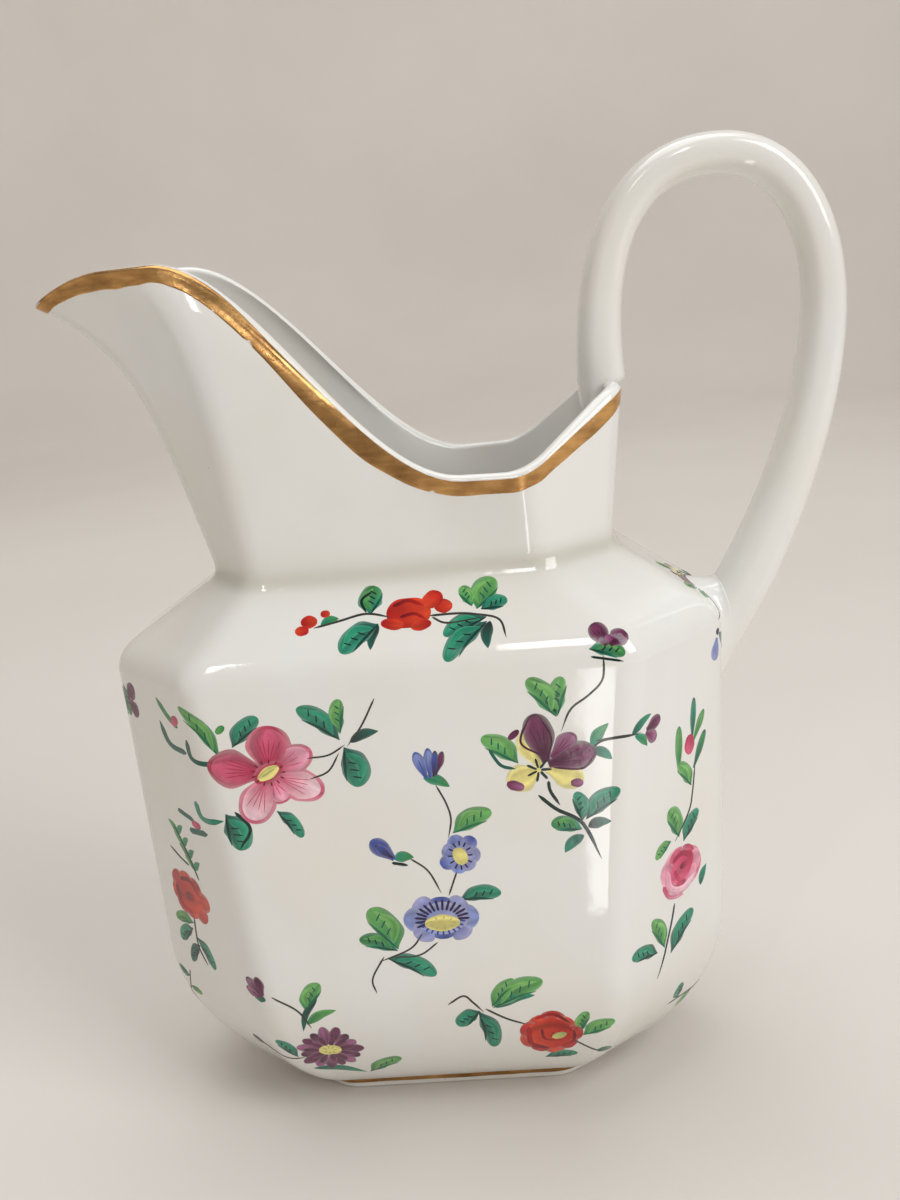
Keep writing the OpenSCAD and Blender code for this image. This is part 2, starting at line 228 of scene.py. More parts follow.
rim_slope = rim_z(rim_out[:, 0] + 0.5) - rim_z(rim_out[:, 0] - 0.5)
gilt_width = RIM_GILT_W * (1 + 0.35 * rim_slope ** 2)
gilt_drop = drop_to(gilt_width)


def neck_ring(foot, rim, v):
    """v = 0 is the foot of the neck, 1 the lower edge of the gilt line, 2 the start of the lip."""
    return wall_ring(foot, rim, np.where(v <= 1, mix(lip_z - NECK_Z, gilt_drop, v), gilt_drop * (2 - v)))


def lip_ring(angle):
    a = np.radians(np.broadcast_to(angle, len(rim_out)))
    across = ((1 - np.cos(a)) / 2)[:, None]
    return np.column_stack([mix(rim_out, rim_in, across), lip_z + LIP_H * np.sin(a)])


# ---- one continuous skin, so that the glaze runs unbroken over every joint ----

def body_skin():
    """Rings from the foot up the outside, over the lip and down the inside, with named rows."""
    rings, marks = [], {}
    for k in range(25):
        z = BELLY_Z - (BELLY_Z - FOOT_H) * math.cos(math.radians(90 * k / 24))
        rings.append(bowl_ring(bowl_half(z), mix(FOOT_R, EDGE_R, belly_share(z, FOOT_H)), z))
    rings += [bowl_ring(bowl_half(z), EDGE_R, z) for z in np.linspace(BELLY_Z, JOINT_Z, 14)[1:]]
    marks["joint"] = len(rings) - 1
    start = 1 - SHOULDER_R / (BOWL_L / 2 - NECK_L / 2)
    for k in range(1, 13):
        t, z = bezier2(np.array([1, JOINT_Z]), np.array([1, SHOULDER_Z]),
                       np.array([start, mix(NECK_Z, SHOULDER_Z, start)]), k / 12)
        rings.append(shoulder_ring(t, z))
    slope = np.linalg.norm(shoulder_ring(1, SHOULDER_Z) - shoulder_ring(0, NECK_Z), axis=1)
    near = (FILLET / slope)[:, None]
    edge, foot = rings[-1], shoulder_ring(0, NECK_Z)
    fillet_low = mix(foot, shoulder_ring(1, SHOULDER_Z), near)
    rings += [mix(edge, fillet_low, k / 10) for k in range(1, 10)]
    lift = FILLET / (lip_z - gilt_drop - NECK_Z)
    fillet_high = neck_ring(foot_out, rim_out, lift)
    rings += [bezier2(fillet_low, foot, fillet_high, k / 10) for k in range(11)]
    marks["neck"] = len(rings) - 6
    rings += [neck_ring(foot_out, rim_out, mix(lift, 1, k / 44)) for k in range(1, 45)]
    marks["gilt"] = len(rings) - 1
    rings += [neck_ring(foot_out, rim_out, 1 + k / 5) for k in range(1, 6)]
    marks["lip"] = len(rings) - 1
    rings += [lip_ring(a) for a in range(15, 180, 15)]
    rings += [neck_ring(foot_in, rim_in, 2 - k / 5) for k in range(5)]
    rings += [neck_ring(foot_in, rim_in, 1 - k / 36) for k in range(37)]
    marks["inner_neck"] = len(rings) - 1
    rings += [shoulder_ring(0, NECK_Z - 2.4, NECK_WALL)]
    rings += [mix(rings[-1], shoulder_ring(0.9, SHOULDER_Z - 1.6, BOWL_WALL), k / 6)
              for k in range(1, 7)]
    marks["inner_joint"] = len(rings)
    rings += [bowl_ring(bowl_inner_half(z), EDGE_R, z) for z in np.linspace(JOINT_Z, BELLY_Z, 8)]
    for k in range(19, -1, -1):
        z = BELLY_Z - (BELLY_Z - FLOOR_Z) * math.cos(math.radians(90 * k / 20))
        rings.append(bowl_ring(bowl_inner_half(z), mix(FOOT_R, EDGE_R, belly_share(z, FLOOR_Z)), z))
    return np.array(rings), marks


def grid_normals(grid):
    """Outward normals of a grid of rings whose columns close on themselves."""
    along = np.roll(grid, -1, axis=1) - np.roll(grid, 1, axis=1)
    up = np.gradient(grid, axis=0)
    n = np.cross(along, up)
    return n / np.maximum(np.linalg.norm(n, axis=2, keepdims=True), 1e-12)


def wavy(points):
    """The slow unevenness of a press-moulded wall, 0 to 1."""
    x, y, z = points[..., 0], points[..., 1], points[..., 2]
    return 0.5 + 0.25 * np.sin(x / 9.1 + z / 23 + 0.7) + 0.25 * np.sin(z / 11.3 - x / 31 + y / 17)


skin, rows = body_skin()
skin_normals = grid_normals(skin)
skin = skin - skin_normals * (WALL_WAVE * wavy(skin))[..., None]

# ---- meshes ----

def ring_faces(count, columns, closed=False):
    """Quads between rings in order; closed joins the last ring to the first."""
    steps = count if closed else count - 1
    return [(i * columns + j, i * columns + (j + 1) % columns,
             (i + 1) % count * columns + (j + 1) % columns, (i + 1) % count * columns + j)
            for i in range(steps) for j in range(columns)]


def add_piece(name, points, faces, material, replaces=(), normals=None):
    mesh = bpy.data.meshes.new(name)
    mesh.from_pydata((np.reshape(points, (-1, 3)) * MM).tolist(), [], faces)
    mesh.polygons.foreach_set("use_smooth", [True] * len(mesh.polygons))
    if normals is not None:
        mesh.normals_split_custom_set_from_vertices(np.reshape(normals, (-1, 3)).tolist())
    mesh.materials.append(material)
    piece = bpy.data.objects.new(name, mesh)
    bpy.context.scene.collection.objects.link(piece)
    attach(piece, "root")
    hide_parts(*replaces)
    return piece


def set_values(piece, name, values):
    """A number for each ring of a piece, given to every point of that ring."""
    layer = piece.data.attributes.new(name, "FLOAT", "POINT")
    layer.data.foreach_set("value", np.repeat(np.array(values, float), COLUMNS))


# ---- shader helpers ----

def linear(red, green, blue):
    """A colour given as 0 to 255 screen values, as shader values."""
    return tuple((c / 255) ** 2.2 for c in (red, green, blue)) + (1.0,)


def new_material(name, roughness=0.5, metallic=0.0):
    material = bpy.data.materials.new(name)
    material.use_nodes = True
    shader = material.node_tree.nodes["Principled BSDF"]
    shader.inputs["Roughness"].default_value = roughness
    shader.inputs["Metallic"].default_value = metallic
    return material, material.node_tree, shader


def noise(tree, scale, detail=2.0, stretch=(1, 1, 1), offset=0.0):
    place = tree.nodes.new("ShaderNodeTexCoord")
    shape = tree.nodes.new("ShaderNodeMapping")
    shape.inputs["Scale"].default_value = stretch
    shape.inputs["Location"].default_value = (offset, offset, offset)
    made = tree.nodes.new("ShaderNodeTexNoise")
    made.inputs["Scale"].default_value = scale
    made.inputs["Detail"].default_value = detail
    tree.links.new(place.outputs["Object"], shape.inputs["Vector"])
    tree.links.new(shape.outputs["Vector"], made.inputs["Vector"])
    return made.outputs["Fac"]


def spread(tree, value, low, high, to_low=0.0, to_high=1.0):
    made = tree.nodes.new("ShaderNodeMapRange")
    for socket, number in zip(made.inputs[1:5], (low, high, to_low, to_high)):
        socket.default_value = number
    tree.links.new(value, made.inputs[0])
    return made.outputs[0]


def maths(tree, kind, a, b):
    made = tree.nodes.new("ShaderNodeMath")
    made.operation = kind
    for socket, value in zip(made.inputs, (a, b)):
        if isinstance(value, (int, float)):
            socket.default_value = value
        else:
            tree.links.new(value, socket)
    return made.outputs[0]


def blend_colours(tree, share, a, b, kind="MIX"):
    made = tree.nodes.new("ShaderNodeMix")
    made.data_type = "RGBA"
    made.blend_type = kind
    for socket, value in ((made.inputs[0], share), (made.inputs[6], a), (made.inputs[7], b)):
        if isinstance(value, (int, float, tuple)):
            socket.default_value = value
        else:
            tree.links.new(value, socket)
    return made.outputs[2]


def bump(tree, shader, height, distance, strength=1.0):
    made = tree.nodes.new("ShaderNodeBump")
    made.inputs["Strength"].default_value = strength
    made.inputs["Distance"].default_value = distance
    tree.links.new(height, made.inputs["Height"])
    tree.links.new(made.outputs["Normal"], shader.inputs["Normal"])


def attribute(tree, name, output):
    made = tree.nodes.new("ShaderNodeAttribute")
    made.attribute_name = name
    return made.outputs[output]


# ---- materials ----

PORCELAIN_WHITE = linear(231, 231, 228)
PORCELAIN_WARM = linear(229, 226, 218)


def porcelain_colour(tree):
    """White with slow warm clouds, and here and there a tiny dark firing speck."""
    clouds = spread(tree, noise(tree, 38, 3), 0.35, 0.7)
    cell = tree.nodes.new("ShaderNodeTexVoronoi")
    cell.inputs["Scale"].default_value = 150
    place = tree.nodes.new("ShaderNodeTexCoord")
    tree.links.new(place.outputs["Object"], cell.inputs["Vector"])
    dot = spread(tree, cell.outputs["Distance"], 0.018, 0.034, 1, 0)
    chosen = spread(tree, noise(tree, 90, 1, offset=3.0), 0.60, 0.62)
    body = blend_colours(tree, clouds, PORCELAIN_WHITE, PORCELAIN_WARM)
    return blend_colours(tree, maths(tree, "MULTIPLY", dot, chosen), body, linear(96, 82, 70))


def glaze_material():
    material, tree, shader = new_material("glazed_porcelain")
    # Greyer, darker glaze where this value is high: in the neck's fillet and round the foot under the
    # belly. Part of it is glaze pooled thick in those angles; the rest is painted shade in those creases.
    pooled_glaze_and_shade = attribute(tree, "pooled_glaze_and_shade", "Fac")
    colour = blend_colours(tree, pooled_glaze_and_shade, porcelain_colour(tree), linear(206, 204, 192))
    tree.links.new(colour, shader.inputs["Base Color"])
    tree.links.new(spread(tree, noise(tree, 120, 3), 0.3, 0.8, 0.045, 0.11), shader.inputs["Roughness"])
    shader.inputs["IOR"].default_value = 1.52
    shader.inputs["Coat Weight"].default_value = 0.35
    shader.inputs["Coat Roughness"].default_value = 0.03
    ripple = maths(tree, "ADD", noise(tree, 55, 1), maths(tree, "MULTIPLY", noise(tree, 420, 2), 0.06))
    bump(tree, shader, ripple, 0.00035)
    return material


def biscuit_material():
    """The foot's underside, wiped clean of glaze and greyed by use."""
    material, tree, shader = new_material("bare_foot")
    grime = spread(tree, noise(tree, 260, 4), 0.45, 0.75)
    colour = blend_colours(tree, grime, linear(222, 214, 200), linear(168, 148, 122))
    tree.links.new(colour, shader.inputs["Base Color"])
    tree.links.new(spread(tree, noise(tree, 500, 2), 0.3, 0.7, 0.55, 0.8), shader.inputs["Roughness"])
    bump(tree, shader, noise(tree, 1500, 2), 0.00006)
    return material


def gilt_material(name, darkness, wear):
    """Burnished gold, browned unevenly and rubbed through to the glaze in places."""
    material, tree, shader = new_material(name)
    brown = spread(tree, noise(tree, 160, 4), 0.5 - darkness, 0.95 - darkness)
    gold = blend_colours(tree, brown, linear(220, 170, 108), linear(138, 98, 62))
    streaks = noise(tree, 700, 3, stretch=(0.35, 0.35, 1.6))
    gold = blend_colours(tree, spread(tree, streaks, 0.4, 0.7, 0, 0.35), gold, linear(92, 62, 36))
    edge = attribute(tree, "edge", "Fac")
    rubbed = maths(tree, "ADD", noise(tree, 330, 5, offset=7.0), maths(tree, "MULTIPLY", edge, 0.16))
    bare = spread(tree, rubbed, wear, wear + 0.05)
    tree.links.new(blend_colours(tree, bare, gold, PORCELAIN_WARM), shader.inputs["Base Color"])
    tree.links.new(spread(tree, bare, 0, 1, 0.95, 0), shader.inputs["Metallic"])
    polish = maths(tree, "ADD", spread(tree, noise(tree, 240, 3), 0.3, 0.8, 0.2, 0.36),
                   maths(tree, "MULTIPLY", bare, -0.12))
    tree.links.new(polish, shader.inputs["Roughness"])
    bump(tree, shader, noise(tree, 900, 3), 0.00004)
    return material


def enamel_material():
    """Painted colour from each stroke, with the grain of the brush and of the ground colour."""
    material, tree, shader = new_material("enamel")
    grain = spread(tree, noise(tree, 900, 3), 0.3, 0.75, 0.86, 1.08)
    tint = tree.nodes.new("ShaderNodeVectorMath")
    tint.operation = "SCALE"
    tree.links.new(attribute(tree, "paint", "Color"), tint.inputs[0])
    tree.links.new(grain, tint.inputs["Scale"])
    tree.links.new(tint.outputs[0], shader.inputs["Base Color"])
    tree.links.new(spread(tree, noise(tree, 350, 2), 0.3, 0.8, 0.1, 0.2), shader.inputs["Roughness"])
    bump(tree, shader, noise(tree, 600, 2), 0.00003)
    return material


glaze = glaze_material()
biscuit = biscuit_material()
rim_gilt = gilt_material("rim_gilt", 0.10, 0.74)
# The foot line gets a browner copy of the rim's gold: painted shade, for the shade it sits in under the
# belly.
foot_gilt = gilt_material("foot_gilt", 0.25, 0.78)
enamel = enamel_material()

# ---- the porcelain pieces cut from the skin ----

COLUMNS = skin.shape[1]


def add_wall(name, row_sets, replaces, extra=()):
    """A closed wall from runs of the skin's rows, with extra hidden rings before it closes."""
    picked = [i for first, last in row_sets for i in range(first, last + 1)]
    rings = np.concatenate([skin[picked]] + [ring[None] for ring in extra])
    normals = np.concatenate([skin_normals[picked]] + [skin_normals[-1:]] * len(extra))
    piece = add_piece(name, rings, ring_faces(len(rings), COLUMNS, closed=True), glaze,
                      replaces, normals)
    # Highest in the neck's fillet and at the foot: painted shade in these creases, with glaze pooling there
    # as well.
    pooled_glaze_and_shade = np.zeros(len(rings))
    pooled_glaze_and_shade[:len(picked)] = [math.exp(-((i - rows["neck"]) / 4) ** 2) + 0.8 * math.exp(-i / 2)
                            for i in picked]
    set_values(piece, "pooled_glaze_and_shade", np.minimum(pooled_glaze_and_shade, 1))


last_row = len(skin) - 1
add_wall("glazed_bowl", [(0, rows["joint"]), (rows["inner_joint"], last_row)], ["bowl"],
         extra=[bowl_ring(floor_half, FOOT_R, FOOT_H)])
add_wall("glazed_shoulder", [(rows["joint"], rows["neck"]), (rows["inner_neck"], rows["inner_joint"])],
         ["shoulder"])
add_wall("glazed_neck_and_spout", [(rows["neck"], rows["inner_neck"])], ["neck_and_spout"])


def disc(half, z, rise, count=9):
    """A floor: rings shrinking to the middle, raised there by rise."""
    rim = outline(half, half, FOOT_R)
    return [level(rim * s, z + rise * (1 - s * s)) for s in np.linspace(1, 0.02, count)]


top, under = disc(floor_half, FLOOR_Z, 0.25), disc(floor_half, FOOT_H, 0.2)
floor_rings = under[::-1] + top
add_piece("glazed_floor", floor_rings, ring_faces(len(floor_rings), COLUMNS)
          + [tuple(reversed(range(COLUMNS))),
             tuple(range((len(floor_rings) - 1) * COLUMNS, len(floor_rings) * COLUMNS))],
          glaze, ["floor_slab"])


def foot_profile():
    """(inset, height) round the foot ring's section, with softened lower edges."""
    soft = 0.45
    arc = [math.radians(a) for a in range(0, 91, 15)]
    outer = [(soft - soft * math.cos(a), soft - soft * math.sin(a)) for a in arc]
    inner = [(FOOT_BAND - soft + soft * math.sin(a), soft - soft * math.cos(a)) for a in arc]
    return [(0, FOOT_H)] + outer + inner + [(FOOT_BAND, FOOT_H)]


foot_rings = [bowl_ring(inset(foot_half, t), FOOT_R, z) for t, z in foot_profile()]
foot = add_piece("foot_ring_glazed", foot_rings[::-1],
                 ring_faces(len(foot_rings), COLUMNS, closed=True), glaze,
                 ["foot_ring"])
foot.data.materials.append(biscuit)
for face in foot.data.polygons:
    face.material_index = int(face.center.z < 0.0002)

# ---- gilding ----


def gilt_band(name, rings, shares, material, replaces):
    """A thin band; shares are 1 at a band's edges, where it wears, and 0 in its middle."""
    normals = grid_normals(np.array(rings))
    piece = add_piece(name, rings, ring_faces(len(rings), COLUMNS), material, replaces,
                      normals)
    set_values(piece, "edge", shares)


def brushed_edge(size, seed):
    """A hand-drawn edge: a smooth random wander round the outline, in millimetres."""
    turn = np.linspace(0, 2 * math.pi, COLUMNS, endpoint=False)
    waves = np.random.default_rng(seed)
    return size * sum(waves.normal() / k * np.sin(k * 9 * turn + waves.uniform(0, 6.3))
                      for k in range(1, 5))


def rim_band():
    """The gilt line below the lip; on the spout it runs over the lip's outer half as well."""
    low = gilt_width + brushed_edge(0.10, 3)
    over = 4 + 70 * smooth((-14 - rim_out[:, 0]) / 12)
    rings = [wall_ring(foot_out, rim_out, drop_to(mix(low, 0.12, s))) for s in np.linspace(0, 1, 11)]
    rings = np.array(rings + [lip_ring(over * s) for s in (0.25, 0.5, 0.75, 1)])
    normals = grid_normals(rings)
    lift = np.full(len(rings), 0.05)
    lift[[0, -1]] = -0.05
    rings += normals * (lift[:, None, None] - WALL_WAVE * wavy(rings)[..., None])
    return rings, np.abs(np.linspace(-1, 1, len(rings))) ** 3


def foot_band():
    heights = [FOOT_H - FOOT_GILT_H, FOOT_H - FOOT_GILT_H + 0.05, FOOT_H - 0.4, FOOT_H - 0.02]
    lifts = [-0.05, GILT_T - 0.02, GILT_T - 0.02, GILT_T - 0.02]
    low = brushed_edge(0.05, 5)
    rings = [bowl_ring(inset(foot_half, -lift), FOOT_R, z) for z, lift in zip(heights, lifts)]
    for ring in rings[:2]:
        ring[:, 2] += low
    return rings, [1, 0.8, 0, 0.8]


gilt_band("rim_gilt_line", *rim_band(), rim_gilt, ["rim_gilding"])
gilt_band("foot_gilt_line", *foot_band(), foot_gilt, ["foot_gilding"])

# ---- the handle and the slip that lutes it on ----

SIDES = 40
HANDLE_PATH = (
    ((33.4, 118), (32.8, 136), (37.5, HANDLE_TOP), (52.5, HANDLE_TOP)),
    ((52.5, HANDLE_TOP), (63.5, HANDLE_TOP), (HANDLE_REACH, 141), (HANDLE_REACH, 128)),
    ((HANDLE_REACH, 128), (HANDLE_REACH, 113), (61.5, 93), (51.4, 77)),
)


def bezier3(p, t):
    a, b, c, d = (np.array(q, float) for q in p)
    return mix(bezier2(a, b, c, t), bezier2(b, c, d, t), t)


def squircle(power):
    a = np.linspace(0, 2 * math.pi, SIDES, endpoint=False)
    c, s = np.cos(a), np.sin(a)
    return np.column_stack([np.sign(c) * np.abs(c) ** (2 / power), np.sign(s) * np.abs(s) ** (2 / power)])


handle_line = np.array([bezier3(HANDLE_PATH[s], k / 40) for s in range(3) for k in range(41)
                        if s == 0 or k > 0])
handle_dirs = np.gradient(handle_line, axis=0)
handle_dirs /= np.linalg.norm(handle_dirs, axis=1, keepdims=True)
section = squircle(2.6)


def handle_ring(i):
    t = i / (len(handle_line) - 1)
    growth = 0.22 * max(0, 1 - t / 0.2) ** 2 + 0.44 * max(0, (t - 0.45) / 0.55) ** 2.6
    half_t, half_w = STRAP_T / 2 * (1 + growth), STRAP_W / 2 * (1 + 0.4 * growth)
    across = np.array([-handle_dirs[i][1], handle_dirs[i][0]])
    flat = handle_line[i] + np.outer(section[:, 0] * half_t, across)
    return np.column_stack([flat[:, 0], section[:, 1] * half_w, flat[:, 1]])


def wall_x(z):
    return BOWL_L / 2 - BELLY_TAPER / (SHOULDER_Z - BELLY_Z) * (SHOULDER_Z - z)


ROOT_Z = float(rim_z(np.array([RIM_REAR_X]))[0])
handle_rings = [handle_ring(i) for i in range(len(handle_line))]
handle_rings[0][:, 2] = ROOT_Z
end_dir = np.array([handle_dirs[-1][0], 0, handle_dirs[-1][1]])
run = (wall_x(handle_rings[-1][:, 2]) - handle_rings[-1][:, 0]) / end_dir[0]
handle_rings[-1] = handle_rings[-1] + run[:, None] * end_dir
half_way = len(handle_rings) // 2
rising = [r for r in handle_rings[1:half_way] if r[:, 2].min() > ROOT_Z]
falling = [r for r in handle_rings[half_way:-1] if (r[:, 0] - wall_x(r[:, 2])).min() > 0]
handle_rings = handle_rings[:1] + rising + falling + handle_rings[-1:]


def tube_faces(count, columns):
    ends = [tuple(range(columns)), tuple(range((count - 1) * columns, count * columns))[::-1]]
    sides = [face[::-1] for face in ring_faces(count, columns)]
    return sides + ends


def tube_normals(rings):
    rings = np.array(rings)
    normals = grid_normals(rings)
    outward = rings - rings.mean(axis=1, keepdims=True)
    return normals * np.sign((normals * outward).sum(axis=(1, 2)))[:, None, None]


add_piece("loop_handle", handle_rings, tube_faces(len(handle_rings), SIDES), glaze,
          ["handle"], tube_normals(handle_rings))


def upper_slip():
    """The slip under the handle's root: full at first, then fading into the rear wall."""
    top = handle_rings[0]
    middle = top.mean(axis=0)
    rings = [top + (0, 0, 0.3)]
    for s in np.linspace(0, 1, 17):
        z = ROOT_Z - 10 * s
        rise = (z - NECK_Z) / (ROOT_Z - LIP_H - NECK_Z)
        wall = mix(NECK_L / 2, RIM_REAR_X, rise) - NECK_WALL / 2
        fade = smooth((s - 0.35) / 0.65)
        centre = mix(middle[0] - 0.8 * smooth(s / 0.12), wall, fade)
        thin = mix(1.0, 0.76, smooth(s / 0.12)) * mix(1.0, 0.36, fade)
        rings.append(np.column_stack([centre + (top[:, 0] - middle[0]) * thin,
                                      top[:, 1] * mix(1.0, 0.8, s), np.full(SIDES, z)]))
    return rings


slip_rings = upper_slip()
add_piece("upper_slip", slip_rings[::-1], tube_faces(len(slip_rings), SIDES), glaze,
          ["upper_handle_slip"], tube_normals(slip_rings)[::-1])

# ---- the painter's view of the jug: flat panels whose marks are pressed on to the skin ----

outer = skin[:rows["lip"] + 1]
outer_normals = skin_normals[:rows["lip"] + 1]
outer_faces = ring_faces(len(outer), COLUMNS)
outer_tree = BVHTree.FromPolygons(outer.reshape(-1, 3).tolist(), outer_faces)
flat_points, flat_normals = outer.reshape(-1, 3), outer_normals.reshape(-1, 3)


def touch(start, direction):
    """Where a ray meets the outside of the jug, and the smooth normal there."""
    spot, _, index, _ = outer_tree.ray_cast(Vector(start), Vector(direction))
    if spot is None:
        spot, _, index, _ = outer_tree.find_nearest(Vector(start) + 45 * Vector(direction))
    near = list(outer_faces[index])
    weight = 1 / (0.02 + np.linalg.norm(flat_points[near] - np.array(spot), axis=1))
    normal = (flat_normals[near] * weight[:, None]).sum(axis=0)
    return np.array(spot), normal / np.linalg.norm(normal)


def lower_slip():
    """A concave collar from the handle's lower end on to the end wall."""
    end, above = handle_rings[-1], handle_rings[-3]
    middle = end.mean(axis=0)
    outward = end - middle
    outward /= np.linalg.norm(outward, axis=1, keepdims=True)
    foot_points = []
    for point in end + 1.0 * outward:
        spot, _ = touch((point[0] + 30, point[1], point[2]), (-1, 0, 0))
        foot_points.append(spot + (0.02, 0, 0))
    foot_points = np.array(foot_points)
    start = mix(end, above, 0.45)
    rings = [bezier2(start, mix(end, above, 0.08), foot_points, k / 9) for k in range(10)]
    return [start - 0.2 * outward] + rings + [foot_points - (0.5, 0, 0)]


collar = lower_slip()
add_piece("lower_slip", collar, tube_faces(len(collar), SIDES)[:-2], glaze,
          ["lower_handle_slip"], tube_normals(collar))

# ---- enamel: flower sprays in raised colour over the glaze ----

INKS = {name: np.array(linear(*screen)[:3]) for name, screen in {
    "teal": (14, 92, 78), "sea": (26, 132, 102), "jade": (44, 152, 116), "green": (52, 132, 72),
    "light": (92, 160, 82), "lime": (120, 180, 98), "vein": (18, 46, 42),
    "stem": (62, 62, 56), "cherry": (178, 44, 80), "rose": (208, 88, 120),
    "blush": (230, 158, 180), "pale": (238, 198, 208), "red": (180, 36, 30), "orange": (206, 66, 40),
    "plum": (78, 24, 56), "mauve": (112, 44, 84), "lilac": (150, 92, 128), "yellow": (226, 214, 132),
    "blue": (58, 78, 156), "sky": (124, 140, 198), "mist": (150, 152, 196), "night": (48, 34, 74),
    "eye": (164, 176, 104), "wine": (110, 22, 30),
}.items()}

# A leaf's inks: its ground from base to tip, its lit half, and its shaded edge and veins
LEAVES = {"dark": ("vein", "teal", "teal", "vein"), "teal": ("teal", "sea", "jade", "vein"),
          "mid": ("sea", "green", "light", "vein"), "light": ("green", "light", "lime", "teal")}

WHITE = np.array(PORCELAIN_WHITE[:3])

# How wide a stroke is along its length, as a share of its full width
SHAPES = {
    "leaf": lambda t: smooth(0.12 + t / 0.42) * np.sqrt(1 - np.clip((t - 0.5) / 0.5, 0, 1) ** 2.4),
    "blade": lambda t: np.sin(np.pi * t ** 0.85) ** 0.85,
    "petal": lambda t: (0.3 + 0.7 * smooth(t / 0.6)) * np.sqrt(1 - np.clip((t - 0.55) / 0.45, 0, 1) ** 2),
    "round": lambda t: np.sqrt(np.clip(1 - (2 * t - 1) ** 2, 0, 1)),
    "line": lambda t: np.minimum(1, np.minimum(9 * t + 0.25, 5 * (1 - t) + 0.1)),
}
ACROSS = np.array([-1, -0.88, -0.55, -0.2, 0.2, 0.55, 0.88, 1])


def panel(facing, tilt, centre):
    """A flat frame: facing is its bearing in plan, 0 towards the front, and tilt leans it up."""
    a, t = math.radians(facing), math.radians(tilt)
    normal = np.array([math.sin(a) * math.cos(t), -math.cos(a) * math.cos(t), math.sin(t)])
    right = np.array([math.cos(a), math.sin(a), 0])
    return np.array(centre, float), right, np.cross(normal, right), normal


def curve(points, shares):
    """A smooth curve through the points (Catmull-Rom), at shares 0 to 1 of its spans."""
    points = np.array(points, float)
    points = np.vstack([2 * points[0] - points[1], points, 2 * points[-1] - points[-2]])
    spans = len(points) - 3
    out = []
    for share in shares:
        i = min(int(share * spans), spans - 1)
        t = share * spans - i
        a, b, c, d = points[i:i + 4]
        out.append(0.5 * (2 * b + (c - a) * t + (2 * a - 5 * b + 4 * c - d) * t ** 2
                          + (3 * b - a - 3 * c + d) * t ** 3))
    return np.array(out)


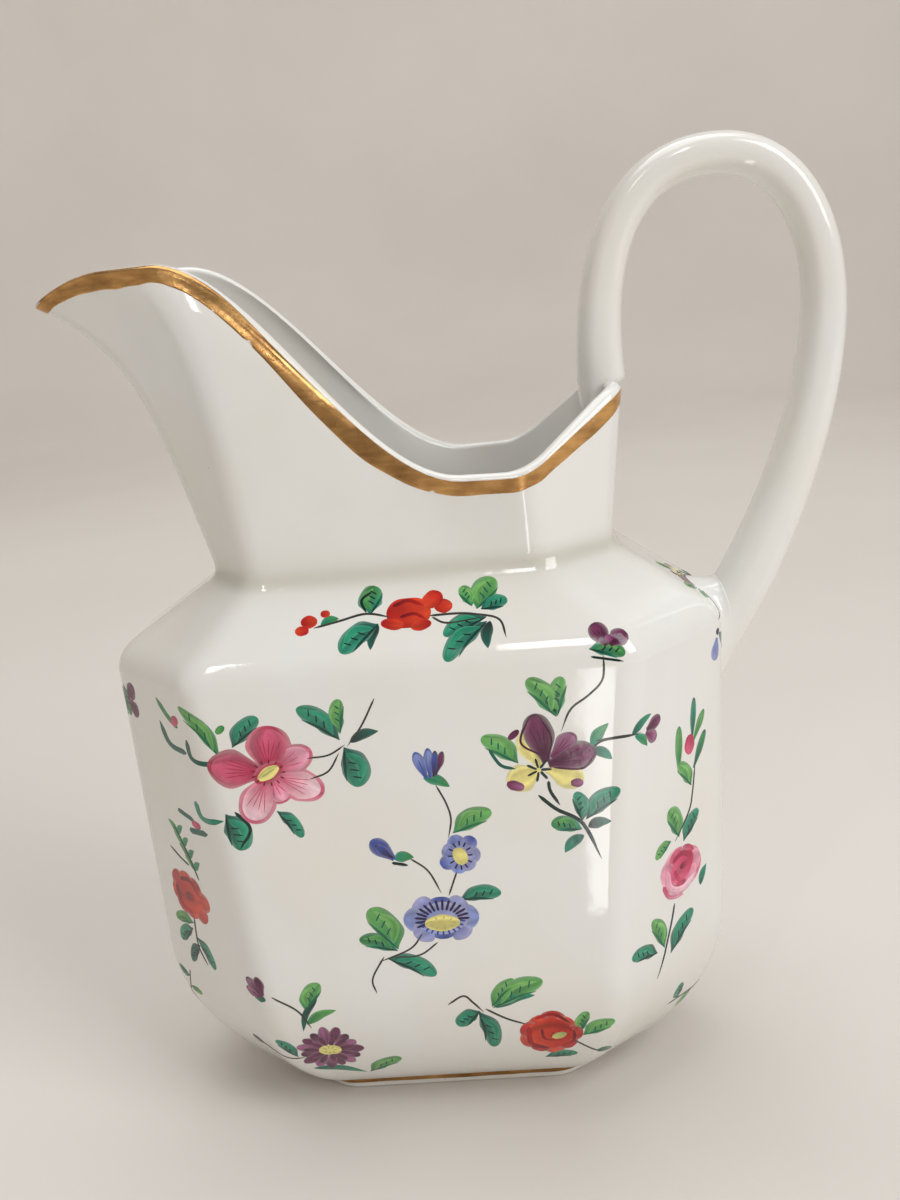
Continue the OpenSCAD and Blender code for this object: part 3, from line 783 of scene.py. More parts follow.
class Spray:
    """Brush strokes drawn in millimetres about a middle (p, q) and pressed on to the jug."""

    def __init__(self, name, where, p, q, turn=0, size=1, mirror=False):
        self.name, self.frame, self.middle, self.size = name, where, np.array([p, q]), size
        a = math.radians(turn)
        self.turn = np.array([[math.cos(a), math.sin(a)], [-math.sin(a), math.cos(a)]])
        self.flip = np.array([-1, 1]) if mirror else np.array([1, 1])
        self.points, self.normals, self.colours, self.faces = [], [], [], []

    def stroke(self, path, width, ink, tip=None, shape="leaf", layer=0, fade=0.0):
        length = sum(math.dist(a, b) for a, b in zip(path, path[1:]))
        count = int(np.clip(length / 0.28, 7, 26))
        t = (1 - np.cos(np.pi * np.arange(count + 1) / count)) / 2
        spine = curve(path, t)
        along = np.gradient(spine, axis=0)
        along /= np.maximum(np.linalg.norm(along, axis=1, keepdims=True), 1e-9)
        side = np.column_stack([-along[:, 1], along[:, 0]])
        across = ACROSS if width > 0.8 else ACROSS[::7] if width < 0.12 else np.array([-1, -0.6, 0.6, 1])
        half = 0.5 * width * np.maximum(SHAPES[shape](t), 0.03)
        wobble = 1 + 0.05 * np.sin(9 * t + rng.uniform(0, 6)) * (width > 1.2)
        flat = spine[:, None] + side[:, None] * (half * wobble)[:, None, None] * across[None, :, None]
        flat = (flat * self.flip * self.size) @ self.turn + self.middle
        centre, right, up, normal = self.frame
        height = 0.02 + 0.016 * layer + 0.0008 * (len(self.faces) % 11)
        hairs = 1 + 0.16 * rng.normal(size=len(across)) * (width > 0.8)
        first = len(self.points)
        for i, row in enumerate(flat):
            ink_here = mix(INKS[ink], INKS[tip or ink], smooth(t[i]))
            for j, (p, q) in enumerate(row):
                rim = i in (0, count) or j in (0, len(across) - 1)
                spot, out = touch(centre + p * right + q * up + 40 * normal, -normal)
                self.points.append(spot + out * (-0.03 if rim else height))
                self.normals.append(out)
                shade = ink_here * np.clip(hairs[j] * (1 + 0.06 * math.sin(5 * t[i] + j)), 0.6, 1.4)
                pale = fade * (0.8 if rim or abs(across[j]) > 0.8 else 0.12)
                self.colours.append(np.clip(mix(shade, WHITE, pale), 0, 1))
        wide = len(across)
        quads = [(first + i * wide + j, first + (i + 1) * wide + j,
                  first + (i + 1) * wide + j + 1, first + i * wide + j + 1)
                 for i in range(count) for j in range(wide - 1)]
        self.faces += [quad[::int(self.flip[0])] for quad in quads]

    def line(self, *path, width=0.35, ink="stem", layer=2):
        """A thin line; a stem runs on a little at both ends, under what it joins."""
        path = [np.array(point, float) for point in path]
        if ink == "stem":
            first, last = path[0] - path[1], path[-1] - path[-2]
            path[0] = path[0] + 0.8 * first / np.linalg.norm(first)
            path[-1] = path[-1] + 0.8 * last / np.linalg.norm(last)
        self.stroke(path, width, ink, shape="line", layer=layer)

    def dot(self, middle, wide, high=None, ink="red", tip=None, turn=0, layer=1, fade=0.0):
        high = high or wide
        a = math.radians(turn)
        reach = np.array([math.cos(a), math.sin(a)]) * wide / 2
        middle = np.array(middle, float)
        self.stroke([middle - reach, middle, middle + reach], high, ink, tip, "round", layer, fade)

    def leaf(self, base, tip, width, kind="teal", bend=0.1, veins=True, layer=0):
        """A round-tipped leaf: ground, a lit half, a dark stroke along its lower edge, and veins."""
        base, tip = np.array(base, float), np.array(tip, float)
        run = tip - base
        side = np.array([-run[1], run[0]]) * (1 if run[0] * self.flip[0] > 0 else -1)
        unit = side / np.linalg.norm(side)
        belly = base + 0.5 * run + bend * side
        ground, light, lit, vein = LEAVES[kind]
        if width < 2.1:
            self.stroke([base, belly, tip], width, ground, light, "blade", layer, 0.15)
            return
        self.stroke([base, belly, tip], width, ground, light, "leaf", layer, 0.2)
        self.stroke([base + 0.15 * run, belly + 0.2 * width * unit, base + 0.92 * run + 0.1 * width * unit],
                    width * 0.42, light, lit, "blade", layer + 1, 0.1)
        low = belly - 0.36 * width * unit
        self.stroke([base, low, base + 0.8 * run - 0.3 * width * unit], 0.5 + 0.05 * width, vein, ground,
                    "blade", layer + 1)
        if not veins:
            return
        for share in (0.36, 0.54, 0.72):
            root = base + share * run - 0.18 * width * unit + bend * side * 0.8
            self.line(root, root + 0.1 * run + 0.3 * width * unit, width=0.3, ink=vein)

    def petal(self, base, tip, width, ink, edge, layer=1, hairs=3, rim=None):
        """A petal: its rim colour, a wash from ink to edge inside that, and lines from its base."""
        base, tip = np.array(base, float), np.array(tip, float)
        run = tip - base
        side = np.array([-run[1], run[0]]) / np.linalg.norm(run)
        self.stroke([base, tip], width, ink, rim or ink, "petal", layer, 0.3)
        self.stroke([base, base + 0.93 * run], width * 0.84, ink, edge, "petal", layer + 0.6, 0.1)
        for k in range(hairs):
            aside = (k - (hairs - 1) / 2) * 0.62 * width / max(hairs, 1)
            self.line(base + 0.12 * run, base + 0.72 * run + aside * side, width=0.22, ink=rim or ink,
                      layer=layer + 1)

    def rosette(self, middle, wide, high, count, inks, width, turn=0, layer=1):
        """A ring of petals round an oval, in alternating inks."""
        for k in range(count):
            a = 2 * math.pi * k / count + math.radians(turn)
            reach = np.array([math.cos(a) * wide, math.sin(a) * high]) * rng.uniform(0.86, 1.1)
            self.stroke([np.array(middle) + 0.25 * reach, np.array(middle) + reach], width,
                        inks[k % len(inks)], inks[(k + 1) % len(inks)], "petal", layer, 0.2)

    def ring_of_ticks(self, middle, wide, high, length, count, ink, width=0.3, start=0, end=360, layer=3):
        for a in np.radians(np.linspace(start, end, count, endpoint=end - start < 360)):
            inner = np.array(middle) + (math.cos(a) * wide, math.sin(a) * high)
            outer_end = np.array(middle) + (math.cos(a) * (wide + length), math.sin(a) * (high + length))
            self.line(inner, outer_end, width=width, ink=ink, layer=layer)

    def finish(self):
        piece = add_piece(self.name, self.points, self.faces, enamel,
                          normals=self.normals)
        paint = piece.data.color_attributes.new("paint", "FLOAT_COLOR", "POINT")
        rgba = np.column_stack([np.array(self.colours), np.ones(len(self.colours))])
        paint.data.foreach_set("color", rgba.ravel())


# ---- the drawings, each in millimetres about its own middle ----

# Their points aren't drawn freely. They were read off the photo by eye, converted to millimetres
# on each panel by a scratch script, and typed here, some as printed and some rounded.

def pink_flower(b):
    b.leaf((-7, 3), (-13, 11), 2.5, "light")
    b.line((-13, 3), (-16.5, 3.5), (-18, 7), width=1.1, ink="teal", layer=0)
    b.line((-14, 7), (-16, 8.5), (-18, 11), width=1.1, ink="green", layer=0)
    b.dot((-14.5, 8), 2.2, 1.6, "rose", "cherry", 60)
    b.line((-12.5, 5.5), (-12, 2.5), (-9, 2), (-7.5, 2.5), width=0.9, ink="teal", layer=1)
    b.dot((-6.5, 7.5), 1.8, 1.2, "light", "green", 40)
    b.leaf((-5, 4.5), (-0.5, 9), 3, "teal")
    b.petal((0.2, -0.6), (2, -5), 5, "rose", "blush", layer=0.6)
    b.petal((0, 0), (-9.3, 1.8), 6.6, "cherry", "rose", hairs=5)
    b.petal((0, 0), (1, 7.6), 7.8, "cherry", "rose", hairs=5)
    b.petal((0.2, 0.2), (7, 3.2), 5.2, "cherry", "blush", rim="rose")
    b.petal((0.2, -0.4), (8.2, -3.8), 5.8, "rose", "pale", rim="rose", hairs=4)
    b.petal((-0.2, -0.4), (-3.8, -8), 6.4, "rose", "pale", rim="rose", hairs=4)
    b.dot((0, 0), 5.2, 3.6, "cherry", "cherry", 30, layer=2.4, fade=0.2)
    b.dot((0, 0), 3.9, 2.1, "yellow", "yellow", 30, layer=3)
    b.line((-1.1, -0.6), (1.1, 0.7), width=0.4, ink="eye", layer=4)
    b.ring_of_ticks((0, 0), 2, 1.5, 0.7, 13, "wine", 0.3, layer=4)
    b.leaf((11.5, 4.5), (5.5, 10), 3.3, "teal")
    b.leaf((11.7, 5.5), (12, 11), 2.5, "light")
    b.line((17, 10), (15, 6.5), (13, 4))
    b.leaf((13, 4), (17.5, 5.5), 1.8, "dark")
    b.leaf((12, 3.3), (13.5, -3.3), 4.6, "teal")
    b.line((7, 2), (9.5, 2.2), (11.5, 3.3))
    b.line((7, -1.2), (9.2, -0.4), (10.7, 1.8))
    b.leaf((0.5, -6.3), (4, -11), 2.2, "teal")
    b.leaf((-7.5, -6.3), (-5.5, -12.5), 4.6, "teal")
    b.line((-6, -6), (-4, -9), (-6, -12.3), width=0.7, ink="vein")
    b.line((-17.5, -8.5), (-14, -9.3), width=1, ink="teal", layer=0)
    b.line((-13, -5.3), (-12, -8), (-8, -7.5), width=1.1, ink="sea", layer=0)
    b.line((-15.5, -11.5), (-11.5, -10.7), width=1.2, ink="teal", layer=0)
    b.dot((-13.8, -9.9), 2, 1.5, "rose", "cherry")


def blue_flowers(b):
    b.line((1.4, 21.7), (2.4, 19.3), (2.9, 16.6), (2.4, 14.3))
    b.line((2.7, 7), (1.7, 4.5))
    b.line((-3.4, 10), (-1.4, 8.2), (0, 5))
    b.line((-3.8, -3), (-5.5, -5), (-9.9, -6.7))
    b.line((-1.7, -4.6), (-4.1, -6.2), (-7.3, -6.3))
    b.line((-10.2, -6.8), (-12, -9.9), (-11.7, -11.8))
    b.leaf((3, 14.3), (9.2, 17.5), 3.4, "light")
    b.leaf((3, 3), (9.6, 3.7), 2.8, "teal")
    b.leaf((-7.4, -4.9), (-11.4, 2.3), 4.6, "light")
    b.leaf((-7.5, -5.2), (-13.4, -2.8), 2.9, "mid")
    b.leaf((-9.2, -6.5), (-1.8, -9.9), 3.1, "teal")
    b.leaf((-6.5, 10.6), (-3.4, 10.7), 2, "mid", veins=False)
    b.line((-6.9, 10), (-4.4, 9.4), width=0.6, ink="vein")
    b.leaf((-0.7, 23.7), (3.2, 22), 2, "mid", veins=False)
    b.petal((-0.2, 23.6), (-1.6, 28), 2, "blue", "sky", hairs=1)
    b.petal((0.4, 23.6), (0.4, 28.5), 1.7, "blue", "sky", hairs=1)
    b.petal((0.9, 23.8), (1.5, 28), 1.3, "night", "blue", hairs=0, layer=2)
    b.petal((1.2, 24), (2.6, 27.8), 1.4, "night", "mauve", hairs=0, layer=2)
    b.petal((-6.4, 10.6), (-9.8, 14), 3.2, "blue", "blue")
    b.petal((-6.6, 10.8), (-9.2, 13.2), 1.8, "night", "blue", hairs=0, layer=2)
    b.rosette((0, 0), 5.9, 4.2, 8, ("mist", "sky", "mist", "blue"), 4.4)
    b.dot((0, 0), 8.4, 6, "sky", "mist", layer=2, fade=0.3)
    b.ring_of_ticks((0, -0.2), 2.4, 1.5, 2.0, 15, "night", 0.6, 0, 200, layer=3)
    b.ring_of_ticks((0, -0.2), 2.6, 1.7, 1.1, 11, "blue", 0.45, 190, 350, layer=3)
    b.dot((0, -0.8), 5.6, 3.1, "yellow", "yellow", layer=4)
    b.ring_of_ticks((0, -0.8), 1.6, 0.7, 0.5, 9, "eye", 0.25, layer=5)
    b.rosette((3.8, 10.5), 3.3, 3.5, 7, ("sky", "mist", "blue"), 2.8)
    b.dot((3.8, 10.5), 4.6, 4.8, "sky", "mist", layer=2)
    b.ring_of_ticks((3.8, 10.5), 1.1, 1.6, 0.9, 12, "night", 0.42, layer=3)
    b.dot((3.8, 10.4), 2.3, 3.4, "yellow", "yellow", 20, layer=4)


def pansy(b):
    b.line((-1.6, -5.1), (1, -7.6), (4.8, -10.2), (7.4, -16.4), width=0.7, ink="vein")
    b.line((0.1, -2.9), (0.3, -4.6), (1.6, -7), width=0.6, ink="vein")
    b.line((9.5, 15.4), (9.2, 12.6), (7, 10.3), (4.2, 8.3), (2.9, 5.6), width=0.4)
    b.line((7, 1.7), (8.9, 3), (13.8, 3.2), width=0.4)
    b.leaf((-4.2, 0.3), (-9.5, 4.8), 3.4, "light")
    b.line((-8.5, 2.9), (-6.9, 0.2), (-4.6, -0.6), width=0.6, ink="teal")
    b.leaf((2, 7.3), (-2, 13.5), 3.6, "light")
    b.leaf((2.2, 7.4), (3.2, 13.5), 3, "light")
    b.leaf((7, 1.7), (9.7, 5.7), 1.9, "mid")
    b.leaf((7, 1.7), (9.9, -0.1), 1.9, "teal")
    b.leaf((4.8, -9.8), (4.1, -5), 2.6, "teal")
    b.leaf((5.4, -9.6), (10.8, -5), 3.2, "teal")
    b.leaf((5.6, -10.9), (9.2, -10.2), 2, "dark")
    b.leaf((4.7, -11.2), (0, -10), 2.8, "mid")
    b.leaf((4.9, -12.2), (1.8, -14.9), 2, "teal")
    b.petal((-1, -0.5), (-2.8, 5.6), 5, "yellow", "yellow", hairs=0)
    b.petal((-1, -0.8), (-6, -3.2), 5, "yellow", "yellow", hairs=0)
    b.petal((0, -1), (5.4, -3.4), 4.6, "yellow", "yellow", hairs=0)
    b.petal((0, 0.2), (-1.5, 8), 5.2, "plum", "mauve", layer=2)
    b.petal((0.3, -0.2), (7.6, 1.6), 4.8, "plum", "mauve", layer=2)
    b.petal((0.8, 0.8), (4.6, 4.4), 3.4, "mauve", "lilac", layer=2)
    b.dot((-4.6, 4.9), 2.2, 1.1, "mauve", "plum", 40, layer=3)
    b.dot((-4.9, -3.3), 2.8, 1.8, "mauve", "lilac", -20, layer=3)
    b.dot((4.4, -3.5), 2, 1.6, "mauve", "lilac", layer=3)
    b.stroke([(-0.8, 1.4), (-3.6, 3.6), (-2.2, 7.4)], 0.5, "plum", "plum", "line", 3)
    b.stroke([(1, -0.8), (5.4, -1.2), (7.4, 1)], 0.5, "plum", "plum", "line", 3)
    b.stroke([(0.2, 0.6), (1, 4), (-0.6, 7.6)], 0.45, "plum", "plum", "line", 3)
    b.ring_of_ticks((-1.2, -1), 0.3, 0.3, 1.7, 7, "vein", 0.5, layer=4)


def pansy_top(b):
    b.leaf((-2.7, -0.9), (2.6, -1.9), 2.4, "mid")
    b.line((-2.5, -2), (2.3, -2.9), width=0.4, ink="vein")
    b.petal((0, -0.6), (-1.8, 3), 3.3, "plum", "mauve")
    b.petal((0.4, -0.6), (3, 1.6), 3.2, "plum", "mauve")
    b.dot((0.4, 0.5), 1.4, 1.2, "lilac", "mauve", layer=3)


def pansy_bud(b):
    b.line((-3.4, -0.1), (-1.5, 0.2), (0.3, 0))
    b.leaf((0, 0), (4.2, 2.3), 1.6, "teal")
    b.leaf((0.5, -0.2), (3.3, -2.7), 1.6, "mid")
    b.petal((3, 0), (6.6, 1), 2.6, "plum", "mauve")
    b.petal((2.8, -0.4), (5.6, -2.2), 2.4, "mauve", "lilac")


def rose(b):
    b.line((3.6, 16.4), (3.1, 13.1), (2.1, 9.9), (-1, 6.5), width=0.45)
    b.line((-1.7, -5.1), (-2.8, -9.1), (-5.8, -17.3), width=0.5, ink="vein")
    b.leaf((-0.5, 6.3), (-3.2, 12), 3.6, "light")
    b.leaf((0.6, 5.1), (4.6, 9.4), 3, "teal")
    b.leaf((-2.6, 6.4), (-6.5, 4.6), 2.2, "light")
    b.leaf((5, -4.5), (6.6, -1.2), 1.8, "teal")
    b.leaf((-4.3, -12.1), (-7.3, -6), 3, "light")
    b.leaf((-2.8, -13.8), (3, -8), 3.4, "teal")
    b.leaf((-6, -12.3), (-12.2, -10.6), 2.8, "teal")
    b.petal((-0.6, 17.5), (-0.6, 25.4), 2.2, "green", "light", hairs=1, layer=0)
    b.petal((3, 22), (3.5, 29), 1.8, "teal", "sea", hairs=1, layer=0)
    b.petal((3.2, 21.5), (6.3, 26.2), 1.8, "green", "light", hairs=1, layer=0)
    b.petal((3.4, 17), (6.6, 22.6), 2, "teal", "green", hairs=1, layer=0)
    b.dot((2.3, 21.4), 3.4, 2.8, "rose", "cherry", 90, layer=2)
    b.leaf((2.7, 14.2), (-0.8, 19), 2.6, "light", veins=False, layer=2)
    b.dot((0, 0.5), 10.4, 8.4, "blush", "rose", -8, layer=1, fade=0.3)
    b.rosette((0, 0.3), 5.2, 4.2, 7, ("rose", "blush", "cherry"), 4.4, 10, layer=2)
    b.dot((0.2, 0.8), 6.2, 5, "rose", "cherry", 30, layer=3)
    b.stroke([(-3.8, 1.5), (-2.8, -2), (0.5, -3.2), (3.6, -1.6)], 1.4, "blush", "pale", "line", 4)
    b.stroke([(-2.2, 2.4), (0.2, 3.2), (2.6, 1.8)], 1, "cherry", "cherry", "line", 4)
    b.stroke([(-1.8, 0.8), (-0.6, -1.2), (1.8, -0.8)], 0.9, "cherry", "rose", "line", 4)
    b.stroke([(-4.6, -1), (-3, -3.4), (0.5, -4.3)], 0.9, "rose", "blush", "line", 4)
    b.dot((0.4, 1), 1.8, 1.2, "wine", "cherry", 20, layer=5)


def aster(b):
    b.line((-7.3, 11.1), (-4.1, 8.8), (-2.6, 5.9), width=0.4)
    b.line((-12, -0.4), (-8, -2), (-5.3, -1.7), width=0.4)
    b.leaf((-2.8, 8.7), (0, 13.6), 3, "light")
    b.leaf((-2.9, 6), (2.2, 8.5), 1.8, "light")
    b.leaf((-0.6, 11), (-3.7, 4.6), 1.3, "dark")
    b.leaf((-5.6, -1.4), (-8.8, 2.4), 2.4, "teal")
    b.leaf((-3.7, -4.9), (5, -7.2), 1.8, "teal")
    b.leaf((5.5, -7.2), (11.3, -3.2), 2.7, "light")
    b.leaf((-9, 10.8), (-11, 11), 1.6, "teal", veins=False)
    b.dot((-12.8, -0.2), 2.4, 1.4, "night", "plum", -35)
    b.petal((-9.6, 11.4), (-12, 14.4), 2.2, "plum", "lilac", hairs=1)
    b.petal((-9.4, 11.6), (-10.2, 15), 2, "mauve", "plum", hairs=1)
    b.petal((-9.6, 11.2), (-12.4, 12.4), 1.8, "mauve", "lilac", hairs=1)
    b.rosette((0, 0), 5.6, 5, 15, ("plum", "mauve", "lilac"), 2.1)
    b.rosette((0, 0), 4, 3.4, 11, ("plum", "mauve"), 1.4, 12, layer=2)
    b.dot((0, 0), 3.8, 2.6, "yellow", "yellow", layer=3)
    b.ring_of_ticks((0, 0), 0.5, 0.4, 0.7, 7, "eye", 0.25, layer=4)


def blue_bud(b):
    b.petal((0, 1.5), (-0.8, -2.2), 2.8, "sky", "mist")
    b.dot((0.4, 2.4), 1.2, ink="night")
    b.leaf((1, 2), (3.6, -1.5), 1.8, "teal")


def berry_sprig(b):
    b.line((-4, 4), (-1, 1), (3.4, -2.6), width=0.4)
    b.leaf((-3, 3), (-0.5, 6), 2.2, "teal")
    b.leaf((-0.5, 0.6), (-4.2, -1), 2.2, "light")
    b.dot((2.4, -2.4), 3.2, 2.4, "red", "orange", -40)
    b.dot((4.2, -3.8), 2.2, 1.8, "orange", "red", -40)


def orange_flower(b):
    b.line((-9.6, 5.2), (-7, 3.4), (-4.5, 2.2), width=0.45)
    b.line((-15.5, 7.3), (-13.6, 8.4), (-12.1, 7), (-11.1, 5.7), width=0.4)
    b.line((3.9, -2.8), (7.1, -5.8), width=0.4)
    b.leaf((-9, 5.8), (-0.8, 10.4), 3.7, "light")
    b.leaf((-8.6, 5.8), (-2.2, 7.8), 2, "teal")
    b.leaf((-9.2, 6), (-5.4, 11), 2.2, "light")
    b.leaf((-11.2, 5.3), (-14.9, 2.4), 3, "teal")
    b.leaf((-11.4, 5.3), (-9.5, -3), 3.2, "teal")
    b.leaf((4.4, -0.8), (6, 3.9), 2.2, "light")
    b.leaf((5, -1.3), (10.3, 1.3), 3, "light")
    b.leaf((7.1, -5.8), (9.8, -7.2), 1.8, "teal")
    b.leaf((-1.4, -6.8), (4, -6.2), 2.2, "teal")
    b.rosette((-0.3, -0.6), 5.4, 5.4, 9, ("orange", "red"), 4.4)
    b.dot((-0.3, -0.6), 7.6, 7.6, "orange", "red", layer=2)
    b.stroke([(-3.6, 1.4), (-3.4, -2.6), (-0.6, -4.2)], 0.9, "red", "wine", "line", 3)
    b.stroke([(-2.6, 3), (0.4, 3.8), (3, 1.8)], 0.8, "red", "wine", "line", 3)
    b.stroke([(1.4, -4), (3.4, -2.4), (3.6, 0.2)], 0.8, "red", "wine", "line", 3)
    b.stroke([(-1.6, 0.8), (-1.2, -1.6), (0.8, -2.2)], 0.7, "wine", "red", "line", 3)
    b.dot((1.2, -1), 2.6, 1.6, "yellow", "eye", 20, layer=4)
    b.ring_of_ticks((1.2, -1), 1.2, 0.8, 0.4, 8, "wine", 0.22, layer=4)


def red_flower(b):
    b.line((-13.7, -1.1), (-10.4, -0.4), (-6.4, 0.4), (-3.1, -0.4), width=0.45)
    b.line((3.9, -0.7), (7.8, -0.7), (10.8, -1.2), width=0.45)
    b.line((4.2, -1.3), (5.9, -2.1), (10.8, -1.6), width=0.4)
    b.line((10.8, -1.2), (13.5, -2.1), (14.2, -4.4), width=0.4)
    b.leaf((-13.4, -0.9), (-10.6, 0), 1.6, "mid", veins=False)
    b.leaf((-5.8, 0.3), (-4.8, 4.8), 3.9, "mid")
    b.line((-5.5, 3.9), (-7.1, 2.6), (-6.4, 0.5), width=0.6, ink="vein")
    b.leaf((-4.6, -1.4), (-10.5, -5.6), 3.7, "teal")
    b.leaf((-4.6, -1.6), (-6, -5.5), 1.6, "dark")
    b.leaf((10.3, -0.2), (13.3, 4.6), 4, "light")
    b.leaf((9.6, 0.3), (8, 3.6), 2.4, "light")
    b.leaf((10.9, -0.3), (15, 0.9), 2.6, "teal")
    b.leaf((11.7, -1.6), (5.1, -4.1), 2.9, "teal")
    b.leaf((11.7, -2.3), (5.1, -8), 3.4, "teal")
    b.leaf((12.2, -2.3), (11.6, -6.6), 2, "dark")
    b.dot((0, 0), 6.8, 5.4, "red", "orange", layer=1)
    b.dot((3.7, 1.9), 3.4, 3, "orange", "red", 30, layer=1)
    b.dot((5.3, 0.7), 2.8, 2.4, "red", "orange", layer=1)
    b.dot((-2.5, -1.6), 3.6, 2, "red", "orange", -10, layer=2)
    b.dot((1.8, -2.1), 3.2, 1.8, "orange", "red", 10, layer=2)
    b.stroke([(-2.4, 1.2), (0, 2), (2.4, 1)], 0.8, "wine", "red", "line", 3)
    b.stroke([(-1.4, -0.6), (0.8, -0.2), (2.6, -1.2)], 0.7, "wine", "red", "line", 3)
    b.dot((-15.2, -0.2), 2.6, 2.2, "red", "orange", layer=1)
    b.dot((-16.3, -1.6), 2.2, 1.7, "orange", "red", layer=1)
    b.dot((-12.7, 0.9), 1.5, 1.3, "red", "orange", layer=1)


def red_rose(b):
    b.line((0.1, -3.4), (-0.3, -9.2), (1.5, -12.5), width=0.5, ink="vein")
    b.line((2.1, 6.5), (-0.5, 7.4), (-3, 8.7), width=0.5, ink="vein")
    b.line((4.4, 4.4), (2.6, 8.6), (-0.4, 13.4), width=0.5, ink="vein")
    for k in range(4):
        stem = np.array([3.8 - 1.1 * k, 6 + 1.9 * k])
        b.leaf(stem, stem + (-2.4, 2.2), 1.5, "light", veins=False)
        b.leaf(stem, stem + (2, 2), 1.4, "mid", veins=False)
    b.leaf((-1, -6.2), (-5.4, -9.6), 2.6, "teal")
    b.leaf((-0.4, -5), (-5.8, -5.4), 2.4, "light")
    b.leaf((-0.2, -7.6), (3.6, -12.6), 2.6, "teal")
    b.leaf((0.2, -9), (-3.2, -13.2), 2.2, "dark")
    b.rosette((0, 0.3), 5.7, 4.9, 8, ("red", "orange"), 4.2)
    b.dot((0, 0.3), 8, 6.8, "red", "orange", layer=2)
    b.stroke([(-3.4, 1.6), (-2.6, -2), (0.4, -3)], 0.9, "wine", "red", "line", 3)
    b.stroke([(-1.8, 3), (1.2, 3.4), (3.2, 1.2)], 0.9, "wine", "red", "line", 3)
    b.dot((0.4, 0.2), 2.6, 2, "wine", "red", layer=4)


# The corner panels' middles and turn, and how far the shoulder slopes along the sides and behind
CORNER_X, CORNER_Y, CORNER_TURN = 42.1, 18.7, 49.6
SIDE_SLOPE, REAR_SLOPE_TURN = 35.6, 35
FAR_TURN = 180 - CORNER_TURN
FRONT, BACK = panel(0, 0, (0, 0, 0)), panel(180, 0, (0, 0, 0))
RIGHT = panel(CORNER_TURN, 0, (CORNER_X, -CORNER_Y, 0))
LEFT = panel(-CORNER_TURN, 0, (-CORNER_X, -CORNER_Y, 0))
BACK_RIGHT = panel(FAR_TURN, 0, (CORNER_X, CORNER_Y, 0))
BACK_LEFT = panel(-FAR_TURN, 0, (-CORNER_X, CORNER_Y, 0))
REAR, NOSE = panel(90, 0, (BOWL_L / 2, 0, 0)), panel(-90, 0, (-BOWL_L / 2, 0, 0))
TOP = panel(0, SIDE_SLOPE, (0, -BOWL_W / 2, SHOULDER_Z))
TOP_BACK = panel(180, SIDE_SLOPE, (0, BOWL_W / 2, SHOULDER_Z))
TOP_REAR = panel(90, REAR_SLOPE_TURN, (BOWL_L / 2, 0, SHOULDER_Z))

# Each spray: its drawing, its panel, then across, up, turn, size and whether it is mirrored.
# The first ten places were converted from the photo as well, like the drawings' points.
SPRAYS = (
    (pink_flower, FRONT, -22.7, 65.4, 0, 1, False),
    (blue_flowers, FRONT, 1.5, 39.1, 0, 1, False),
    (pansy, FRONT, 19.6, 63.8, 0, 1, False),
    (pansy_top, TOP, 29.8, 1.3, 0, 1, False),
    (pansy_bud, RIGHT, -12.5, 67, 0, 1, False),
    (rose, RIGHT, -0.3, 39.4, 0, 1, False),
    (aster, FRONT, -19.2, 15.4, 0, 1, False),
    (orange_flower, FRONT, 17.2, 16.7, 0, 1, False),
    (red_flower, TOP, 0.7, 8.2, 0, 1, False),
    (red_rose, LEFT, -0.9, 40.2, 0, 1, False),
    (pansy_top, LEFT, -8.5, 74, -70, 1, False),
    (berry_sprig, LEFT, -8, 20, 20, 0.8, True),
    (blue_bud, RIGHT, 10, 75, 0, 1, False),
    (berry_sprig, RIGHT, 6.5, 14, 50, 1, False),
    (pansy_top, NOSE, 2, 26, 180, 1, True),
    (red_rose, NOSE, 0, 56, 180, 0.8, True),
    (pansy, TOP_REAR, 0, 5, 90, 0.62, True),
    (pansy_bud, REAR, 3, 70, 200, 1, True),
    (pansy_bud, REAR, -4, 30, 80, 1, False),
    (pansy, BACK, -21, 62, 8, 1, True),
    (blue_flowers, BACK, -2, 38, -6, 1, True),
    (pink_flower, BACK, 20, 64, 0, 1, True),
    (aster, BACK, 19, 16, 0, 1, True),
    (orange_flower, BACK, -18, 17, 0, 1, True),
    (red_flower, TOP_BACK, -1, 8, 4, 1, True),
    (red_rose, BACK_RIGHT, 0, 46, 12, 1, True),
    (rose, BACK_LEFT, 0.5, 34, 0, 0.9, True),
    (pansy_top, TOP_BACK, -29, 1.5, 0, 1, True),
)

for number, (draw, where, p, q, turn, size, mirror) in enumerate(SPRAYS):
    spray = Spray(f"{draw.__name__}_{number + 1}", where, p, q, turn, size, mirror)
    draw(spray)
    spray.finish()

# ---- floor, lights and camera ----

def add_floor():
    """A pale floor that rises far away into its own backdrop on every side."""
    profile = [(0.001, 0), (0.1, 0), (0.3, 0), (0.7, 0), (1.1, 0)]
    profile += [(1.1 + 0.7 * math.sin(a), 0.7 - 0.7 * math.cos(a))
                for a in np.linspace(0.1, math.pi / 2, 14)]
    profile.append((1.8, 1.7))
    turn = np.linspace(0, 2 * math.pi, 96, endpoint=False)
    points = [(r * math.cos(a), r * math.sin(a), z) for r, z in profile for a in turn]
    mesh = bpy.data.meshes.new("floor")
    mesh.from_pydata(points, [], ring_faces(len(profile), 96) + [tuple(range(96))])
    mesh.polygons.foreach_set("use_smooth", [True] * len(mesh.polygons))
    material, tree, shader = new_material("pale_floor", roughness=0.55)
    shade = spread(tree, noise(tree, 3, 4), 0.35, 0.7)
    tree.links.new(blend_colours(tree, shade, linear(224, 219, 213), linear(217, 211, 204)),
                   shader.inputs["Base Color"])
    mesh.materials.append(material)
    floor = bpy.data.objects.new("floor", mesh)
    bpy.context.scene.collection.objects.link(floor)


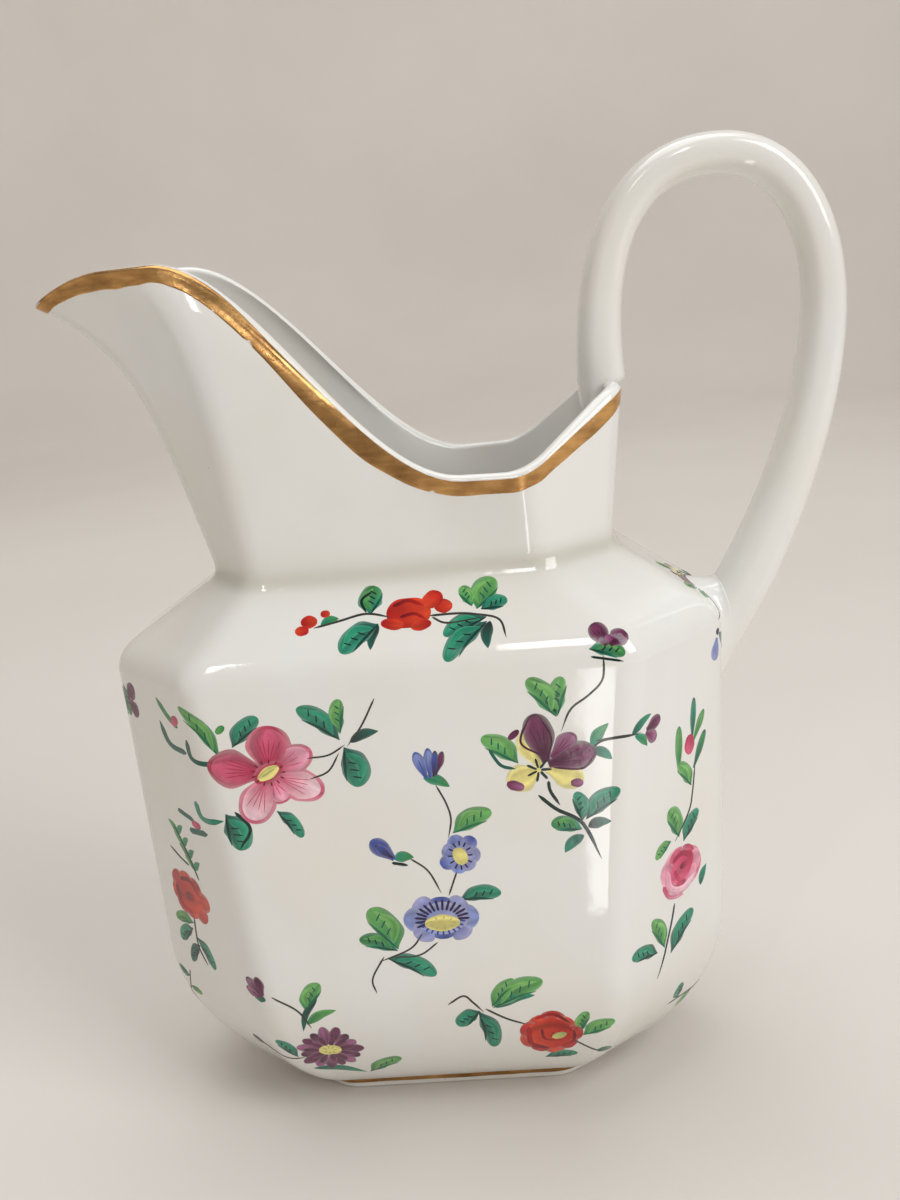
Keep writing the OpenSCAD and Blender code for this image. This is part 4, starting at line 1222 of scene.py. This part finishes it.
def add_light(name, place, aim, size, power, colour):
    light = bpy.data.lights.new(name, "AREA")
    light.shape = "RECTANGLE"
    light.size, light.size_y = size
    light.energy = power
    light.color = colour
    lamp = bpy.data.objects.new(name, light)
    lamp.location = place
    lamp.rotation_euler = (Vector(aim) - Vector(place)).to_track_quat("-Z", "Y").to_euler()
    bpy.context.scene.collection.objects.link(lamp)
    return lamp


def add_camera(place, pitch, roll, yaw, lens):
    """Looks along +Y, turned by yaw, tilted down by pitch and rolled about its own axis."""
    camera = bpy.data.objects.new("camera", bpy.data.cameras.new("camera"))
    camera.data.lens = lens
    camera.data.clip_start = 0.01
    turn = (Matrix.Rotation(math.radians(yaw), 4, "Z")
            @ Matrix.Rotation(math.radians(90 - pitch), 4, "X")
            @ Matrix.Rotation(math.radians(roll), 4, "Z"))
    camera.matrix_world = Matrix.Translation(place) @ turn
    bpy.context.scene.collection.objects.link(camera)
    bpy.context.scene.camera = camera


add_floor()
middle = (0.0, 0.0, 0.07)
add_light("window", (0.62, -0.50, 0.62), middle, (0.42, 0.75), 4.8, (0.98, 0.99, 1.0))
add_light("overhead", (-0.10, 0.10, 1.15), middle, (0.9, 0.9), 5.2, (0.98, 0.99, 1.0))
add_light("fill", (-0.85, -0.35, 0.45), middle, (0.7, 0.7), 0.35, (1.0, 0.88, 0.80))
add_light("front_pane", (0.05, -0.75, 0.66), middle, (0.09, 0.22), 0.55, (1.0, 1.0, 1.0))
add_light("side_pane", (-0.28, -0.72, 0.66), middle, (0.05, 0.22), 0.35, (1.0, 1.0, 1.0))
add_light("backdrop_near", (0.0, 0.55, 1.5), (0.0, 1.8, 0.7), (1.4, 0.5), 8.0, (1.0, 0.96, 0.92))
low_pane = add_light("low_pane", (0.040, -0.182, 0.002), (0.0401, -0.1818, 1.0), (0.014, 0.185), 0.035,
                     (1.0, 1.0, 1.0))
# It lies flat on the floor in front of the jug, facing up, and the camera doesn't see it
low_pane.rotation_euler = (math.pi, 0, math.radians(4))
low_pane.visible_camera = False
# The camera's numbers are rounded from a fit to the photo, made outside this script
add_camera(Vector((17.6, -205.2, 133.9)) * MM, pitch=13.8, roll=-5.3, yaw=3.3, lens=37.5)

world = bpy.data.worlds.new("studio")
world.use_nodes = True
background = world.node_tree.nodes["Background"]
background.inputs["Color"].default_value = (1.0, 0.985, 0.97, 1)
background.inputs["Strength"].default_value = 0.27
bpy.context.scene.world = world
bpy.context.scene.view_settings.view_transform = "Standard"
